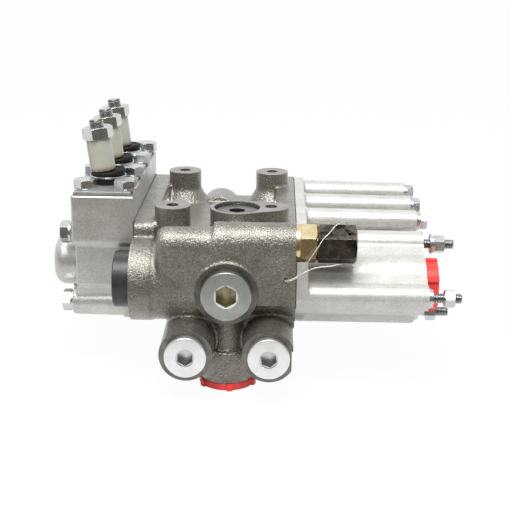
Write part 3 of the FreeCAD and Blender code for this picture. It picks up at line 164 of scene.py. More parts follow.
sky_plain.inputs["Color"].default_value = (1, 1, 1, 1)
sky_plain.inputs["Strength"].default_value = 1.0
connect(sky, (sky_place.outputs["Generated"], sky_lean.inputs[0]),
        (sky_lean.outputs["Value"], sky_half.inputs[0]),
        (sky_half.outputs[0], sky_ramp.inputs["Fac"]),
        (sky_half.outputs[0], sky_hung.inputs["Value"]),
        (sky_ramp.outputs["Color"], sky_room.inputs["Color"]),
        (sky_path.outputs["Is Glossy Ray"], sky_mirror.inputs[0]),
        (sky_hung.outputs["Result"], sky_mirror.inputs[1]),
        (sky_path.outputs["Is Camera Ray"], sky_white.inputs[0]),
        (sky_mirror.outputs[0], sky_white.inputs[1]),
        (sky_white.outputs[0], sky_mix.inputs["Fac"]),
        (sky_room.outputs[0], sky_mix.inputs[1]),
        (sky_plain.outputs[0], sky_mix.inputs[2]),
        (sky_mix.outputs[0], sky_out.inputs["Surface"]))
print("nodes in the world:", len(sky.nodes))

# %% [markdown]
# The main lamp is a large soft box in front of the valve and above it. It draws the bright bands along
# the front ridge, the barrels and the tubes. A weak one from the left front lifts the upright faces.

# %% Lamps


def soft_lamp(name, place, target, size, power):
    """A square area lamp that faces its target."""
    data = bpy.data.lights.new(name, "AREA")
    data.size = size
    data.energy = power
    lamp = bpy.data.objects.new(name, data)
    scene.collection.objects.link(lamp)
    lamp.location = place
    lamp.rotation_euler = (Vector(target) - Vector(place)).to_track_quat("-Z", "Y").to_euler()


soft_lamp("top_lamp", (-0.05, -0.52, 1.0), (0.03, 0, -0.03), 0.6, 13)
soft_lamp("front_lamp", (-0.5, -1.1, 1.0), (0, -0.05, -0.05), 0.5, 2.5)

# %% [markdown]
# The floor is a white table whose front edge lies just outside the picture. Beyond it the room is dim,
# and that is what the upright faces of the valve show. To the camera and in metal the table glows, so
# that it stays white without more light on the valve, and its plain part keeps the soft shadow.

# %% Floor
floor_z = cad_box[0][2]
table_size = 8
table_front_y = -0.335
table_white = 0.86
glow_share = 0.96
bpy.ops.object.select_all(action="DESELECT")
bpy.ops.mesh.primitive_plane_add(size=table_size, location=(0, table_front_y + table_size / 2, floor_z))
floor = bpy.context.active_object
floor.name = "floor"
paper = bpy.data.materials.new("white_paper")
paper.use_nodes = True
leaf = paper.node_tree
leaf.nodes.clear()
leaf_out = add_node(leaf, "ShaderNodeOutputMaterial")
leaf_diffuse = add_node(leaf, "ShaderNodeBsdfDiffuse")
leaf_glow = add_node(leaf, "ShaderNodeEmission")
leaf_path = add_node(leaf, "ShaderNodeLightPath")
leaf_seen = add_node(leaf, "ShaderNodeMath", operation="MAXIMUM")
leaf_share = add_node(leaf, "ShaderNodeMath", operation="MULTIPLY")
leaf_mix = add_node(leaf, "ShaderNodeMixShader")
leaf_diffuse.inputs["Color"].default_value = (table_white, table_white, table_white, 1)
leaf_glow.inputs["Strength"].default_value = 1.0
leaf_share.inputs[1].default_value = glow_share
connect(leaf, (leaf_path.outputs["Is Camera Ray"], leaf_seen.inputs[0]),
        (leaf_path.outputs["Is Glossy Ray"], leaf_seen.inputs[1]),
        (leaf_seen.outputs[0], leaf_share.inputs[0]),
        (leaf_share.outputs[0], leaf_mix.inputs["Fac"]),
        (leaf_diffuse.outputs[0], leaf_mix.inputs[1]),
        (leaf_glow.outputs[0], leaf_mix.inputs[2]),
        (leaf_mix.outputs[0], leaf_out.inputs["Surface"]))
floor.data.materials.append(paper)
print("floor at", round(floor_z, 4))

# %% [markdown]
# Every finish is a small network of nodes: a base colour that varies a little, a roughness that varies
# too, and a bump for the grain. The helpers below keep each finish to a few lines. Object coordinates
# are metres here, so a noise scale of 1000 gives grains of about a millimetre.

# %% Helpers for finishes
# A wave texture of scale 1 repeats after this length.
wave_length = 0.314


def shader_of(material):
    """The shader of a finish, whose sockets take its colour, its roughness and its relief."""
    return material.node_tree.nodes["Principled BSDF"]


def finish(name, color, metallic, roughness):
    """A new material with its main numbers set on the shader's own sockets."""
    material = bpy.data.materials.new(name)
    material.use_nodes = True
    shader = shader_of(material)
    shader.inputs["Base Color"].default_value = (*color, 1)
    shader.inputs["Metallic"].default_value = metallic
    shader.inputs["Roughness"].default_value = roughness
    return material


def node_in(material, kind, **settings):
    """A new node in a finish."""
    return add_node(material.node_tree, kind, **settings)


def grain(material, scale, detail=3.0, rough=0.55, stretch=(1, 1, 1)):
    """A noise over the piece's own coordinates. Unequal stretches draw it out to tool marks."""
    place = node_in(material, "ShaderNodeTexCoord")
    mapping = node_in(material, "ShaderNodeMapping")
    mapping.inputs["Scale"].default_value = stretch
    noise = node_in(material, "ShaderNodeTexNoise")
    noise.inputs["Scale"].default_value = scale
    noise.inputs["Detail"].default_value = detail
    noise.inputs["Roughness"].default_value = rough
    connect(material.node_tree, (place.outputs["Object"], mapping.inputs["Vector"]),
            (mapping.outputs["Vector"], noise.inputs["Vector"]))
    return noise


def tint(material, source, stops, socket="Base Color"):
    """Colours, or greys for another socket, laid over a texture's values."""
    ramp = node_in(material, "ShaderNodeValToRGB")
    set_stops(ramp, stops)
    connect(material.node_tree, (source.outputs["Fac"], ramp.inputs["Fac"]))
    if socket:
        connect(material.node_tree, (ramp.outputs["Color"], shader_of(material).inputs[socket]))
    return ramp


def speckle(material, source, stops, over):
    """Lays a second set of greys over a first ramp, as dark pits and light tips."""
    greys = tint(material, source, stops, None)
    mix = node_in(material, "ShaderNodeMix", data_type="RGBA", blend_type="MULTIPLY")
    mix.inputs["Factor"].default_value = 1.0
    connect(material.node_tree, (over.outputs["Color"], mix.inputs["A"]),
            (greys.outputs["Color"], mix.inputs["B"]),
            (mix.outputs["Result"], shader_of(material).inputs["Base Color"]))


def relief(material, source, depth, strength=1.0, under=None):
    """A bump of the given depth in metres. A second one is laid over the first with under."""
    bump = node_in(material, "ShaderNodeBump")
    bump.inputs["Distance"].default_value = depth
    bump.inputs["Strength"].default_value = strength
    connect(material.node_tree, (source.outputs["Fac"], bump.inputs["Height"]),
            (bump.outputs["Normal"], shader_of(material).inputs["Normal"]))
    if under:
        connect(material.node_tree, (under.outputs["Normal"], bump.inputs["Normal"]))
    return bump


def turned_marks(material, x, z, depth, pitch=0.0011):
    """Fine rings round an axis along Y, as a lathe or a cutter leaves them."""
    place = node_in(material, "ShaderNodeTexCoord")
    center = node_in(material, "ShaderNodeMapping")
    center.inputs["Location"].default_value = (-x, 0, -z)
    rings = node_in(material, "ShaderNodeTexWave", wave_type="RINGS", rings_direction="Y")
    rings.inputs["Scale"].default_value = wave_length / pitch
    rings.inputs["Distortion"].default_value = 0.6
    rings.inputs["Detail"].default_value = 2.0
    rings.inputs["Detail Scale"].default_value = 0.6
    connect(material.node_tree, (place.outputs["Object"], center.inputs["Vector"]),
            (center.outputs["Vector"], rings.inputs["Vector"]))
    relief(material, rings, depth, 0.5)


print("helpers ready")

# %% [markdown]
# The body is sand cast and left bare. The sand leaves a grain of about a millimetre that breaks every
# highlight into sparks, and the colour drifts between warm grey and brown. A thin clear coat stands for
# the oil on it. What was machined is smoother, and the rings round the plugs show the cutter's marks.
# Those rings are painted much darker than the machined tops, as painted shade of their front faces.

# %% Cast iron and its machined faces
cast_iron = finish("cast_iron", (0.33, 0.31, 0.27), 0.8, 0.34)
shader_of(cast_iron).inputs["Coat Weight"].default_value = 0.55
shader_of(cast_iron).inputs["Coat Roughness"].default_value = 0.3
tones = tint(cast_iron, grain(cast_iron, 45, 4.0),
             [(0.3, (0.215, 0.198, 0.166)), (0.52, (0.272, 0.256, 0.224)), (0.75, (0.35, 0.334, 0.302))])
speckle(cast_iron, grain(cast_iron, 950, 3.0, 0.6), [(0.3, 0.55), (0.5, 0.95), (0.7, 1.3)], tones)
tint(cast_iron, grain(cast_iron, 700, 2.0), [(0.3, 0.22), (0.7, 0.4)], "Roughness")
waves = relief(cast_iron, grain(cast_iron, 140, 3.0), 0.0011, 0.4)
relief(cast_iron, grain(cast_iron, 640, 3.0, 0.6), 0.0013, 0.7, waves)

cut_iron = finish("machined_iron", (0.45, 0.44, 0.43), 0.9, 0.34)
tint(cut_iron, grain(cut_iron, 90, 5.0, 0.6), [(0.3, (0.27, 0.26, 0.245)), (0.7, (0.42, 0.41, 0.395))])
relief(cut_iron, grain(cut_iron, 1400, 2.0), 0.0001, 0.35)

plug_axes = {"centre": (0.0065, -0.055), "left": (-0.0235, -0.098), "right": (0.04, -0.098)}
turned_iron_painted_shade = {}
# The rings are the same machined iron as the boss tops, painted much darker: painted shade of faces that
# look into the dim room in front.
for where, (x, z) in plug_axes.items():
    ring = turned_iron_painted_shade[where] = finish("turned_iron_painted_shade_" + where, (0.2, 0.19, 0.175), 0.95, 0.26)
    tint(ring, grain(ring, 120, 4.0), [(0.3, (0.14, 0.132, 0.12)), (0.7, (0.24, 0.23, 0.21))])
    turned_marks(ring, x, z, 0.0001)
print("iron finishes:", cast_iron.name, cut_iron.name, len(turned_iron_painted_shade))

# %% [markdown]
# The covers are cast in metal moulds, so their skin is finer and much lighter than the body's.

# %% Cast aluminium
cast_aluminium = {}
for node, metal in (("lever_cover", 0.8), ("spring_cover", 0.45)):
    skin = cast_aluminium[node] = finish("cast_aluminium_" + node, (0.61, 0.6, 0.57), metal, 0.42)
    tones = tint(skin, grain(skin, 60, 4.0), [(0.3, (0.54, 0.532, 0.5)), (0.7, (0.66, 0.655, 0.63))])
    speckle(skin, grain(skin, 1000, 3.0, 0.6), [(0.3, 0.76), (0.5, 0.98), (0.7, 1.12)], tones)
    tint(skin, grain(skin, 900, 2.0), [(0.35, 0.32), (0.65, 0.46)], "Roughness")
    pores = relief(skin, grain(skin, 220, 3.0), 0.0003, 0.5)
    relief(skin, grain(skin, 900, 3.0, 0.6), 0.0005, 0.5, pores)
print("aluminium finishes:", len(cast_aluminium))

# %% [markdown]
# Bolts, nuts and washers are zinc plated: bright, a little blue, with soft stains. The plate over the
# levers is rolled sheet and duller. The screw plugs are plated too, and their faces keep the rings of the
# lathe. Their zinc is painted a darker grey on the middle plug, as a painted dark reflection, and near
# white on the lug plugs, as painted light. The lip of the largest socket is pale, and inside it the
# plating has gone olive.

# %% Zinc plating
zinc = finish("zinc_plating", (0.62, 0.645, 0.645), 1.0, 0.27)
tint(zinc, grain(zinc, 160, 4.0),
     [(0.25, (0.53, 0.57, 0.58)), (0.5, (0.62, 0.645, 0.645)), (0.8, (0.7, 0.7, 0.67))])
tint(zinc, grain(zinc, 400, 3.0), [(0.3, 0.23), (0.75, 0.32)], "Roughness")
relief(zinc, grain(zinc, 180, 2.0), 0.00002, 0.15)

sheet_zinc = finish("sheet_zinc", (0.6, 0.62, 0.61), 0.85, 0.42)
tint(sheet_zinc, grain(sheet_zinc, 90, 4.0), [(0.3, (0.52, 0.545, 0.535)), (0.7, (0.64, 0.655, 0.64))])
tint(sheet_zinc, grain(sheet_zinc, 250, 3.0), [(0.3, 0.36), (0.7, 0.46)], "Roughness")
relief(sheet_zinc, grain(sheet_zinc, 120, 2.0), 0.00002, 0.15)

# Painted light: each plug's zinc face gets its own grey, darker on the middle plug as a painted dark
# reflection and near white on the lug plugs as painted light.
plug_painted_light_tones = {"centre": ((0.44, 0.455, 0.435), (0.54, 0.56, 0.535)),
              "left": ((0.83, 0.84, 0.83), (0.93, 0.94, 0.93)),
              "right": ((0.84, 0.85, 0.84), (0.94, 0.95, 0.94))}
plug_zinc = {}
for where, (x, z) in plug_axes.items():
    dark, light = plug_painted_light_tones[where]
    face = plug_zinc[where] = finish("turned_zinc_" + where, light, 0.9, 0.3)
    tint(face, grain(face, 170, 4.0), [(0.3, dark), (0.65, light)])
    turned_marks(face, x, z, 0.00006, 0.0009)
socket_lip = finish("socket_lip", (0.86, 0.86, 0.84), 0.6, 0.42)
tint(socket_lip, grain(socket_lip, 300, 3.0), [(0.3, (0.78, 0.78, 0.75)), (0.7, (0.9, 0.9, 0.88))])
socket_olive = finish("socket_olive", (0.42, 0.37, 0.24), 1.0, 0.34)
tint(socket_olive, grain(socket_olive, 260, 3.0), [(0.3, (0.3, 0.26, 0.16)), (0.7, (0.62, 0.58, 0.42))])
print("zinc finishes:", zinc.name, sheet_zinc.name, len(plug_zinc))

# %% [markdown]
# Steel that moves is ground or turned, and the roots of a thread are painted dark, as painted shade deep
# in the V. The top plug has gone dull, and the springs are drawn wire. The relief valve's body is brass,
# with the fine marks of turning.

# %% Steel and brass
bright_steel = finish("bright_steel", (0.62, 0.61, 0.6), 1.0, 0.26)
along_z = (1, 1, 0.08)
tint(bright_steel, grain(bright_steel, 500, 3.0, 0.5, along_z), [(0.3, 0.2), (0.7, 0.36)], "Roughness")
lever_steel = finish("lever_steel", (0.62, 0.605, 0.585), 1.0, 0.28)
tint(lever_steel, grain(lever_steel, 200, 4.0), [(0.3, (0.54, 0.525, 0.5)), (0.7, (0.7, 0.685, 0.665))])
relief(lever_steel, grain(lever_steel, 200, 2.0), 0.00002, 0.2)
# Painted shade: this dark colour on thread roots stands for the shade deep in the V of a thread.
root_painted_shade = finish("root_painted_shade", (0.16, 0.153, 0.145), 1.0, 0.4)
tint(root_painted_shade, grain(root_painted_shade, 500, 2.0), [(0.3, (0.1, 0.096, 0.09)), (0.7, (0.21, 0.203, 0.192))])
dull_steel = finish("dull_steel", (0.2, 0.19, 0.18), 1.0, 0.34)
tint(dull_steel, grain(dull_steel, 140, 4.0), [(0.3, (0.17, 0.162, 0.152)), (0.7, (0.3, 0.29, 0.275))])
relief(dull_steel, grain(dull_steel, 800, 2.0), 0.00005, 0.4)
spring_wire = finish("spring_wire", (0.3, 0.3, 0.32), 0.9, 0.35)
relief(spring_wire, grain(spring_wire, 900, 2.0), 0.0001, 0.3)

brass = finish("machined_brass", (0.74, 0.6, 0.34), 1.0, 0.22)
along_x = (1, 6, 6)
tint(brass, grain(brass, 120, 4.0), [(0.3, (0.66, 0.53, 0.28)), (0.7, (0.84, 0.72, 0.48))])
relief(brass, grain(brass, 900, 2.0, 0.5, along_x), 0.00003, 0.3)
print("steel and brass ready")

# %% [markdown]
# The cap of the relief valve is black oxide, mottled and rubbed to bare steel along its edges. The cap
# on the bypass bore is painted, and the paint has a slight peel.

# %% Black finishes
worn_edge = finish("worn_black_edge", (0.4, 0.37, 0.33), 0.9, 0.3)
tint(worn_edge, grain(worn_edge, 420, 4.0, 0.7), [(0.42, (0.1, 0.09, 0.08)), (0.62, (0.5, 0.47, 0.43))])
black_oxide = finish("black_oxide", (0.1, 0.085, 0.07), 0.95, 0.36)
tint(black_oxide, grain(black_oxide, 150, 5.0, 0.65),
     [(0.38, (0.02, 0.016, 0.012)), (0.68, (0.17, 0.147, 0.122))])
tint(black_oxide, grain(black_oxide, 320, 4.0), [(0.3, 0.24), (0.75, 0.46)], "Roughness")
relief(black_oxide, grain(black_oxide, 700, 3.0), 0.0001, 0.35)
black_paint = finish("black_paint", (0.028, 0.028, 0.029), 0.0, 0.36)
tint(black_paint, grain(black_paint, 160, 4.0), [(0.3, (0.02, 0.02, 0.021)), (0.7, (0.04, 0.039, 0.038))])
peel = relief(black_paint, grain(black_paint, 330, 2.0), 0.0003, 0.35)
relief(black_paint, grain(black_paint, 1300, 2.0), 0.0001, 0.3, peel)
print("black finishes ready")

# %% [markdown]
# The split sleeves on the levers are cream plastic that lets a little light in. Just above the boots their
# feet are brown in patches. The levers lean 6.8 degrees to the left, and the height along their axis tells
# where the brown band is.

# %% Cream plastic
lever_axis = Vector((-0.118404, 0, 0.992966))
# Below the second height along the lever the cream turns brown in patches, fully brown at the sleeve's
# foot.
sleeve_foot, brown_end = 0.0348, 0.0378
foot_brown = (0.23, 0.16, 0.1, 1)
cream = finish("cream_plastic", (0.5, 0.5, 0.425), 0.0, 0.34)
cream_tones = tint(cream, grain(cream, 50, 3.0),
                   [(0.3, (0.44, 0.44, 0.36)), (0.7, (0.54, 0.545, 0.47))], None)
shader_of(cream).inputs["Subsurface Weight"].default_value = 0.12
shader_of(cream).inputs["Subsurface Scale"].default_value = 0.003
relief(cream, grain(cream, 600, 2.0), 0.0001, 0.3)

cream_place = node_in(cream, "ShaderNodeTexCoord")
cream_height = node_in(cream, "ShaderNodeVectorMath", operation="DOT_PRODUCT")
cream_foot_band = node_in(cream, "ShaderNodeMapRange")
cream_patches = tint(cream, grain(cream, 260, 4.0), [(0.3, 0.5), (0.6, 1.0)], None)
cream_share = node_in(cream, "ShaderNodeMath", operation="MULTIPLY")
cream_mix = node_in(cream, "ShaderNodeMix", data_type="RGBA")
cream_height.inputs[1].default_value = lever_axis
cream_foot_band.inputs["From Min"].default_value = sleeve_foot
cream_foot_band.inputs["From Max"].default_value = brown_end
cream_foot_band.inputs["To Min"].default_value = 1.0
cream_foot_band.inputs["To Max"].default_value = 0.0
cream_mix.inputs["B"].default_value = foot_brown
connect(cream.node_tree, (cream_place.outputs["Object"], cream_height.inputs[0]),
        (cream_height.outputs["Value"], cream_foot_band.inputs["Value"]),
        (cream_foot_band.outputs["Result"], cream_share.inputs[0]),
        (cream_patches.outputs["Color"], cream_share.inputs[1]),
        (cream_share.outputs[0], cream_mix.inputs["Factor"]),
        (cream_tones.outputs["Color"], cream_mix.inputs["A"]),
        (cream_mix.outputs["Result"], shader_of(cream).inputs["Base Color"]))
print("sleeves are brown from", sleeve_foot, "to", brown_end)

# %% [markdown]
# The other soft and moulded pieces: red caps, black boots, dark gasket paper and the stranded wire.

# %% Red plastic, rubber, gasket and wire
red = finish("red_plastic", (0.86, 0.05, 0.045), 0.0, 0.32)
tint(red, grain(red, 60, 3.0), [(0.3, (0.78, 0.04, 0.036)), (0.7, (0.92, 0.062, 0.056))])
relief(red, grain(red, 800, 2.0), 0.0001, 0.3)

rubber = finish("boot_rubber", (0.011, 0.0105, 0.01), 0.0, 0.5)
shader_of(rubber).inputs["Specular IOR Level"].default_value = 0.15
tint(rubber, grain(rubber, 250, 4.0), [(0.3, 0.38), (0.7, 0.62)], "Roughness")
relief(rubber, grain(rubber, 1100, 3.0), 0.00015, 0.4)

gasket = finish("gasket_paper", (0.06, 0.055, 0.05), 0.0, 0.7)
tint(gasket, grain(gasket, 500, 3.0), [(0.3, (0.04, 0.038, 0.035)), (0.7, (0.09, 0.085, 0.08))])
relief(gasket, grain(gasket, 1500, 2.0), 0.0001, 0.4)

soft_wire = finish("seal_wire", (0.72, 0.70, 0.64), 0.85, 0.35)
strands_place = node_in(soft_wire, "ShaderNodeTexCoord")
strands = node_in(soft_wire, "ShaderNodeTexWave", wave_type="BANDS", bands_direction="DIAGONAL")
strands.inputs["Scale"].default_value = 700
connect(soft_wire.node_tree, (strands_place.outputs["Object"], strands.inputs["Vector"]))
relief(soft_wire, strands, 0.00012, 0.5)
print("all finishes:", len(bpy.data.materials))

# %% [markdown]
# CAD meshes are loose triangles with perfect edges. A real edge always has a small radius that catches
# the light. So most pieces are a copy of their CAD mesh that is welded, cleared of needless edges and
# given a small bevel. The helpers below do that, and hand the copy over in place of the node.

# %% Helpers for pieces
weld_gap = 0.000002
seam_gap = 0.000005
cut_gap = 0.0000001
flat_angle, sharp_angle = 1.0, 28


def only_nothing():
    """Leaves nothing selected, before a new primitive is added."""
    bpy.ops.object.select_all(action="DESELECT")


def only(piece):
    """Selects one object and nothing else."""
    only_nothing()
    piece.select_set(True)
    bpy.context.view_layer.objects.active = piece


def copy_of(node, name):
    """A welded copy of a CAD node's mesh, free to be changed."""
    piece = bpy.data.objects.new(name, nodes[node].data.copy())
    scene.collection.objects.link(piece)
    piece.data.materials.clear()
    only(piece)
    bpy.ops.object.mode_set(mode="EDIT")
    bpy.ops.mesh.select_all(action="SELECT")
    bpy.ops.mesh.remove_doubles(threshold=weld_gap)
    bpy.ops.mesh.customdata_custom_splitnormals_clear()
    bpy.ops.object.mode_set(mode="OBJECT")
    return piece


def points_of(piece):
    """The places of all vertices, one row each."""
    co = np.empty(len(piece.data.vertices) * 3)
    piece.data.vertices.foreach_get("co", co)
    return co.reshape(-1, 3)


def put_points(piece, co):
    """Moves all vertices to new places."""
    piece.data.vertices.foreach_set("co", co.ravel())
    piece.data.update()


def apply_all(piece):
    """Applies the modifiers of a piece in their order."""
    only(piece)
    for modifier in list(piece.modifiers):
        bpy.ops.object.modifier_apply(modifier=modifier.name)


def smooth(piece, angle):
    """Shades a piece smoothly, apart from edges that are sharper than the angle in degrees."""
    only(piece)
    bpy.ops.object.shade_smooth_by_angle(angle=math.radians(angle))


def ease_edges(piece, width, segments=2, edge_slot=-1):
    """Rounds the sharp edges of a piece by a small bevel, which may take a material slot of its own."""
    only(piece)
    bpy.ops.object.mode_set(mode="EDIT")
    bpy.ops.mesh.select_all(action="SELECT")
    bpy.ops.mesh.dissolve_limited(angle_limit=math.radians(flat_angle))
    bpy.ops.object.mode_set(mode="OBJECT")
    bevel = piece.modifiers.new("ease", "BEVEL")
    bevel.width = width
    bevel.segments = segments
    bevel.limit_method = "ANGLE"
    bevel.angle_limit = math.radians(sharp_angle)
    bevel.harden_normals = False
    bevel.material = edge_slot
    apply_all(piece)
    smooth(piece, 50)
    flatten = piece.modifiers.new("flatten", "WEIGHTED_NORMAL")
    flatten.keep_sharp = True
    flatten.weight = 100
    apply_all(piece)


def hand_over(piece, material, *replaced):
    """The piece takes a finish, stands for its nodes and moves with their body."""
    if material:
        piece.data.materials.clear()
        piece.data.materials.append(material)
    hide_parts(*replaced)
    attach(piece, body_of[replaced[0]])
    return piece


def eased(node, material, width, segments=2):
    """A copy of a node with eased edges, in its place."""
    piece = copy_of(node, node + "_eased")
    ease_edges(piece, width, segments)
    return hand_over(piece, material, node)


print("piece helpers ready")

# %% [markdown]
# A casting has no sharp inner corners: the mould rounds them all. Filleting dozens of crossing curves by
# hand is hard, so the CAD copy is turned into small even cells and smoothed, which rounds every corner
# by about two millimetres. The bores are then opened again, so that the spools run clear.

# %% Rounding a casting
spool_ys, spool_z = (-0.0375, 0.0125, 0.0625), -0.055
bore_radius, bore_clearance = 0.0125, 0.0002
bore_inside, bore_outside = 0.0016, 0.00032
most_triangles = 185000


def soften(piece, voxel, rounds):
    """Remeshes a piece evenly, then smooths it so that its corners round."""
    remesh = piece.modifiers.new("cells", "REMESH")
    remesh.mode = "VOXEL"
    remesh.voxel_size = voxel
    settle = piece.modifiers.new("settle", "SMOOTH")
    settle.factor = 0.5
    settle.iterations = rounds
    apply_all(piece)
    only(piece)
    bpy.ops.object.shade_smooth()


def open_bore(piece, y):
    """Pushes what stands in a spool's bore back to its wall."""
    co = points_of(piece)
    dy, dz = co[:, 1] - y, co[:, 2] - spool_z
    r = np.hypot(dy, dz)
    wall = (r < bore_radius + bore_outside) & (r > bore_radius - bore_inside)
    scale = (bore_radius + bore_clearance) / np.maximum(r, 1e-6)
    co[wall, 1] = y + dy[wall] * scale[wall]
    co[wall, 2] = spool_z + dz[wall] * scale[wall]
    put_points(piece, co)
    return int(wall.sum())


def lighten(piece):
    """Merges small faces where the shape is flat, so that the piece stays light."""
    triangles = sum(len(face.vertices) - 2 for face in piece.data.polygons)
    if triangles > most_triangles:
        fewer = piece.modifiers.new("fewer", "DECIMATE")
        fewer.ratio = most_triangles / triangles
        apply_all(piece)
    return triangles


print("rounding ready")

# %% [markdown]
# The rounding must not touch what was machined after casting: the tops of the bosses, the rings that the
# plugs sit on, and the end faces. A machinist leaves extra metal there and cuts it off, and so does this
# step. What lies on a machined plane moves out by three millimetres before the rounding, and a bisect
# cuts it off at the true plane after it, which leaves a crisp rim. The cut faces get their own finish.
# Each plane is given by its axis, its place, the side that goes, and the place and radius of a round
# face where only that one is cut.

# %% Machined faces
extra_metal = 0.003
cut_depth = 0.0045
on_cad_plane, on_cut_plane = 0.00002, 0.00004


def near_axis(places, axis, near):
    """Tells which places lie within a radius of a point, seen along the plane's axis."""
    (u, v), radius = near
    a, b = (places[:, k] for k in range(3) if k != axis)
    return np.hypot(a - u, b - v) < radius


def leave_extra(piece, planes):
    """Moves what lies on each machined plane outward."""
    co = points_of(piece)
    for axis, place, side, near in planes:
        chosen = np.abs(co[:, axis] - place) < on_cad_plane
        if near:
            chosen &= near_axis(co, axis, near)
        co[chosen, axis] += side * extra_metal
    put_points(piece, co)


def centers_of(piece):
    """The centres of all faces, one row each."""
    centers = np.empty(len(piece.data.polygons) * 3)
    piece.data.polygons.foreach_get("center", centers)
    return centers.reshape(-1, 3)


def cut_flat(piece, axis, place, side, near):
    """Cuts a piece off at a plane and closes it, with near only within that radius of a point."""
    only(piece)
    bpy.ops.object.mode_set(mode="EDIT")
    bpy.ops.mesh.select_mode(type="FACE")
    bpy.ops.mesh.select_all(action="DESELECT" if near else "SELECT")
    bpy.ops.object.mode_set(mode="OBJECT")
    if near:
        centers = centers_of(piece)
        chosen = near_axis(centers, axis, near) & (np.abs(centers[:, axis] - place) < cut_depth)
        piece.data.polygons.foreach_set("select", chosen)
    point, normal = [0.0, 0.0, 0.0], [0.0, 0.0, 0.0]
    point[axis], normal[axis] = place, side
    bpy.ops.object.mode_set(mode="EDIT")
    bpy.ops.mesh.bisect(plane_co=point, plane_no=normal, use_fill=True, clear_outer=True)
    bpy.ops.object.mode_set(mode="OBJECT")


def give_finish(piece, axis, place, material, near=None):
    """Puts a finish on the faces that lie in a plane."""
    piece.data.materials.append(material)
    normals = np.empty(len(piece.data.polygons) * 3)
    piece.data.polygons.foreach_get("normal", normals)
    centers = centers_of(piece)
    chosen = np.abs(centers[:, axis] - place) < on_cut_plane
    chosen &= np.abs(normals.reshape(-1, 3)[:, axis]) > 0.99
    if near:
        chosen &= near_axis(centers, axis, near)
    index = np.empty(len(piece.data.polygons), dtype=np.int32)
    piece.data.polygons.foreach_get("material_index", index)
    index[chosen] = len(piece.data.materials) - 1
    piece.data.polygons.foreach_set("material_index", index)
    return int(chosen.sum())


print("machining ready")

# %% [markdown]
# The body is machined on its four boss tops and the pad, on the rings round the plugs, on both ends and
# under the ports. The rear end of the left lug is cut too; the right one runs into the end wall.

# %% Body casting
body_left, body_right, port_face_z = -0.0695, 0.0595, -0.132
lug_face_y, lug_rear_y, centre_face_y = -0.1405, 0.084, -0.121
centre_rim, lug_rim, ring_reach = 0.0265, 0.0222, 0.027
body_planes = [(2, 0.0, 1, None), (1, lug_face_y, -1, None),
               (1, centre_face_y, -1, (plug_axes["centre"], centre_rim)),
               (1, lug_rear_y, 1, (plug_axes["left"], lug_rim)),
               (0, body_left, -1, None), (0, body_right, 1, None), (2, port_face_z, -1, None)]
casting = copy_of("valve_body", "valve_body_casting")
leave_extra(casting, body_planes)
soften(casting, voxel=0.0013, rounds=6)
for plane in body_planes:
    cut_flat(casting, *plane)
print("points moved out of the bores:", [open_bore(casting, y) for y in spool_ys])
cells = lighten(casting)
smooth(casting, 50)
hand_over(casting, cast_iron, "valve_body")
cut_faces = [give_finish(casting, axis, place, cut_iron, near) for axis, place, side, near in body_planes]
# The rings round the plugs take the darker iron, whose colour is painted shade.
for where, face_y in (("centre", centre_face_y), ("left", lug_face_y), ("right", lug_face_y)):
    ring = (plug_axes[where], ring_reach)
    cut_faces.append(give_finish(casting, 1, face_y, turned_iron_painted_shade[where], ring))
print("casting triangles:", cells, "faces:", len(casting.data.polygons), "machined:", cut_faces)

# %% [markdown]
# The two aluminium covers are softened in the same way, with smaller cells, because their edges are
# crisper than the body's.

# %% Cover castings
cover_planes = {"lever_cover": [(0, -0.0703, 1, None)],
                "spring_cover": [(0, 0.0603, -1, None), (0, 0.1625, 1, None)]}
for node, planes in cover_planes.items():
    cover = copy_of(node, node + "_casting")
    leave_extra(cover, planes)
    soften(cover, voxel=0.00105, rounds=3)
    for plane in planes:
        cut_flat(cover, *plane)
    cells = lighten(cover)
    smooth(cover, 50)
    hand_over(cover, cast_aluminium[node], node)
    print(cover.name, cells, len(cover.data.polygons))

# %% [markdown]
# Fasteners, plates and plugs keep their CAD shape. The edges of what is turned or forged are eased by
# a quarter of a millimetre, and the plate's by more, as the punch leaves them.

# %% Eased steel pieces
eased("boot_plate", sheet_zinc, 0.0008, 3)
for node in ("plate_bolts", "plate_washers", "lever_cover_bolts", "lever_cover_washers",
             "spring_cover_bolts", "spring_cover_washers", "drain_nuts", "drain_washers", "boot_rings",
             "lever_nut_1", "lever_nut_2", "lever_nut_3"):
    eased(node, zinc, 0.00025)
eased("bypass_cap", black_paint, 0.0004)
eased("top_plug", dull_steel, 0.0004)

# %% [markdown]
# The cap of the relief valve has been handled most, so the black is rubbed off its edges: the bevel gets
# a finish of its own. The seal wire goes in by a small hole in one of its upper flats, whose mouth is
# widened to show. The hexagon behind the cap is brass.

# %% Relief valve
hole_axis = (0, -0.5, 0.866025)
hole_reach, hole_depth, hole_growth = 0.0013, 0.006, 1.45


def widen(piece, point, direction):
    """Opens a small drilled hole: what lies near its axis moves away from it."""
    co = points_of(piece)
    along = (co - point) @ np.array(direction)
    foot = np.array(point) + along[:, None] * np.array(direction)
    chosen = (np.linalg.norm(co - foot, axis=1) < hole_reach) & (np.abs(along) < hole_depth)
    co[chosen] = foot[chosen] + (co[chosen] - foot[chosen]) * hole_growth
    put_points(piece, co)
    return int(chosen.sum())


cap_points = points_of(nodes["relief_cap"])
cap_y, cap_z = (cap_points[:, 1:].min(0) + cap_points[:, 1:].max(0)) / 2
cap = copy_of("relief_cap", "relief_cap_worn")
print("hole points:", widen(cap, (0.0999, cap_y - 0.008482, cap_z + 0.010691), hole_axis))
cap.data.materials.append(black_oxide)
cap.data.materials.append(worn_edge)
ease_edges(cap, 0.0005, edge_slot=1)
hand_over(cap, None, "relief_cap")
eased("relief_body", brass, 0.0003)

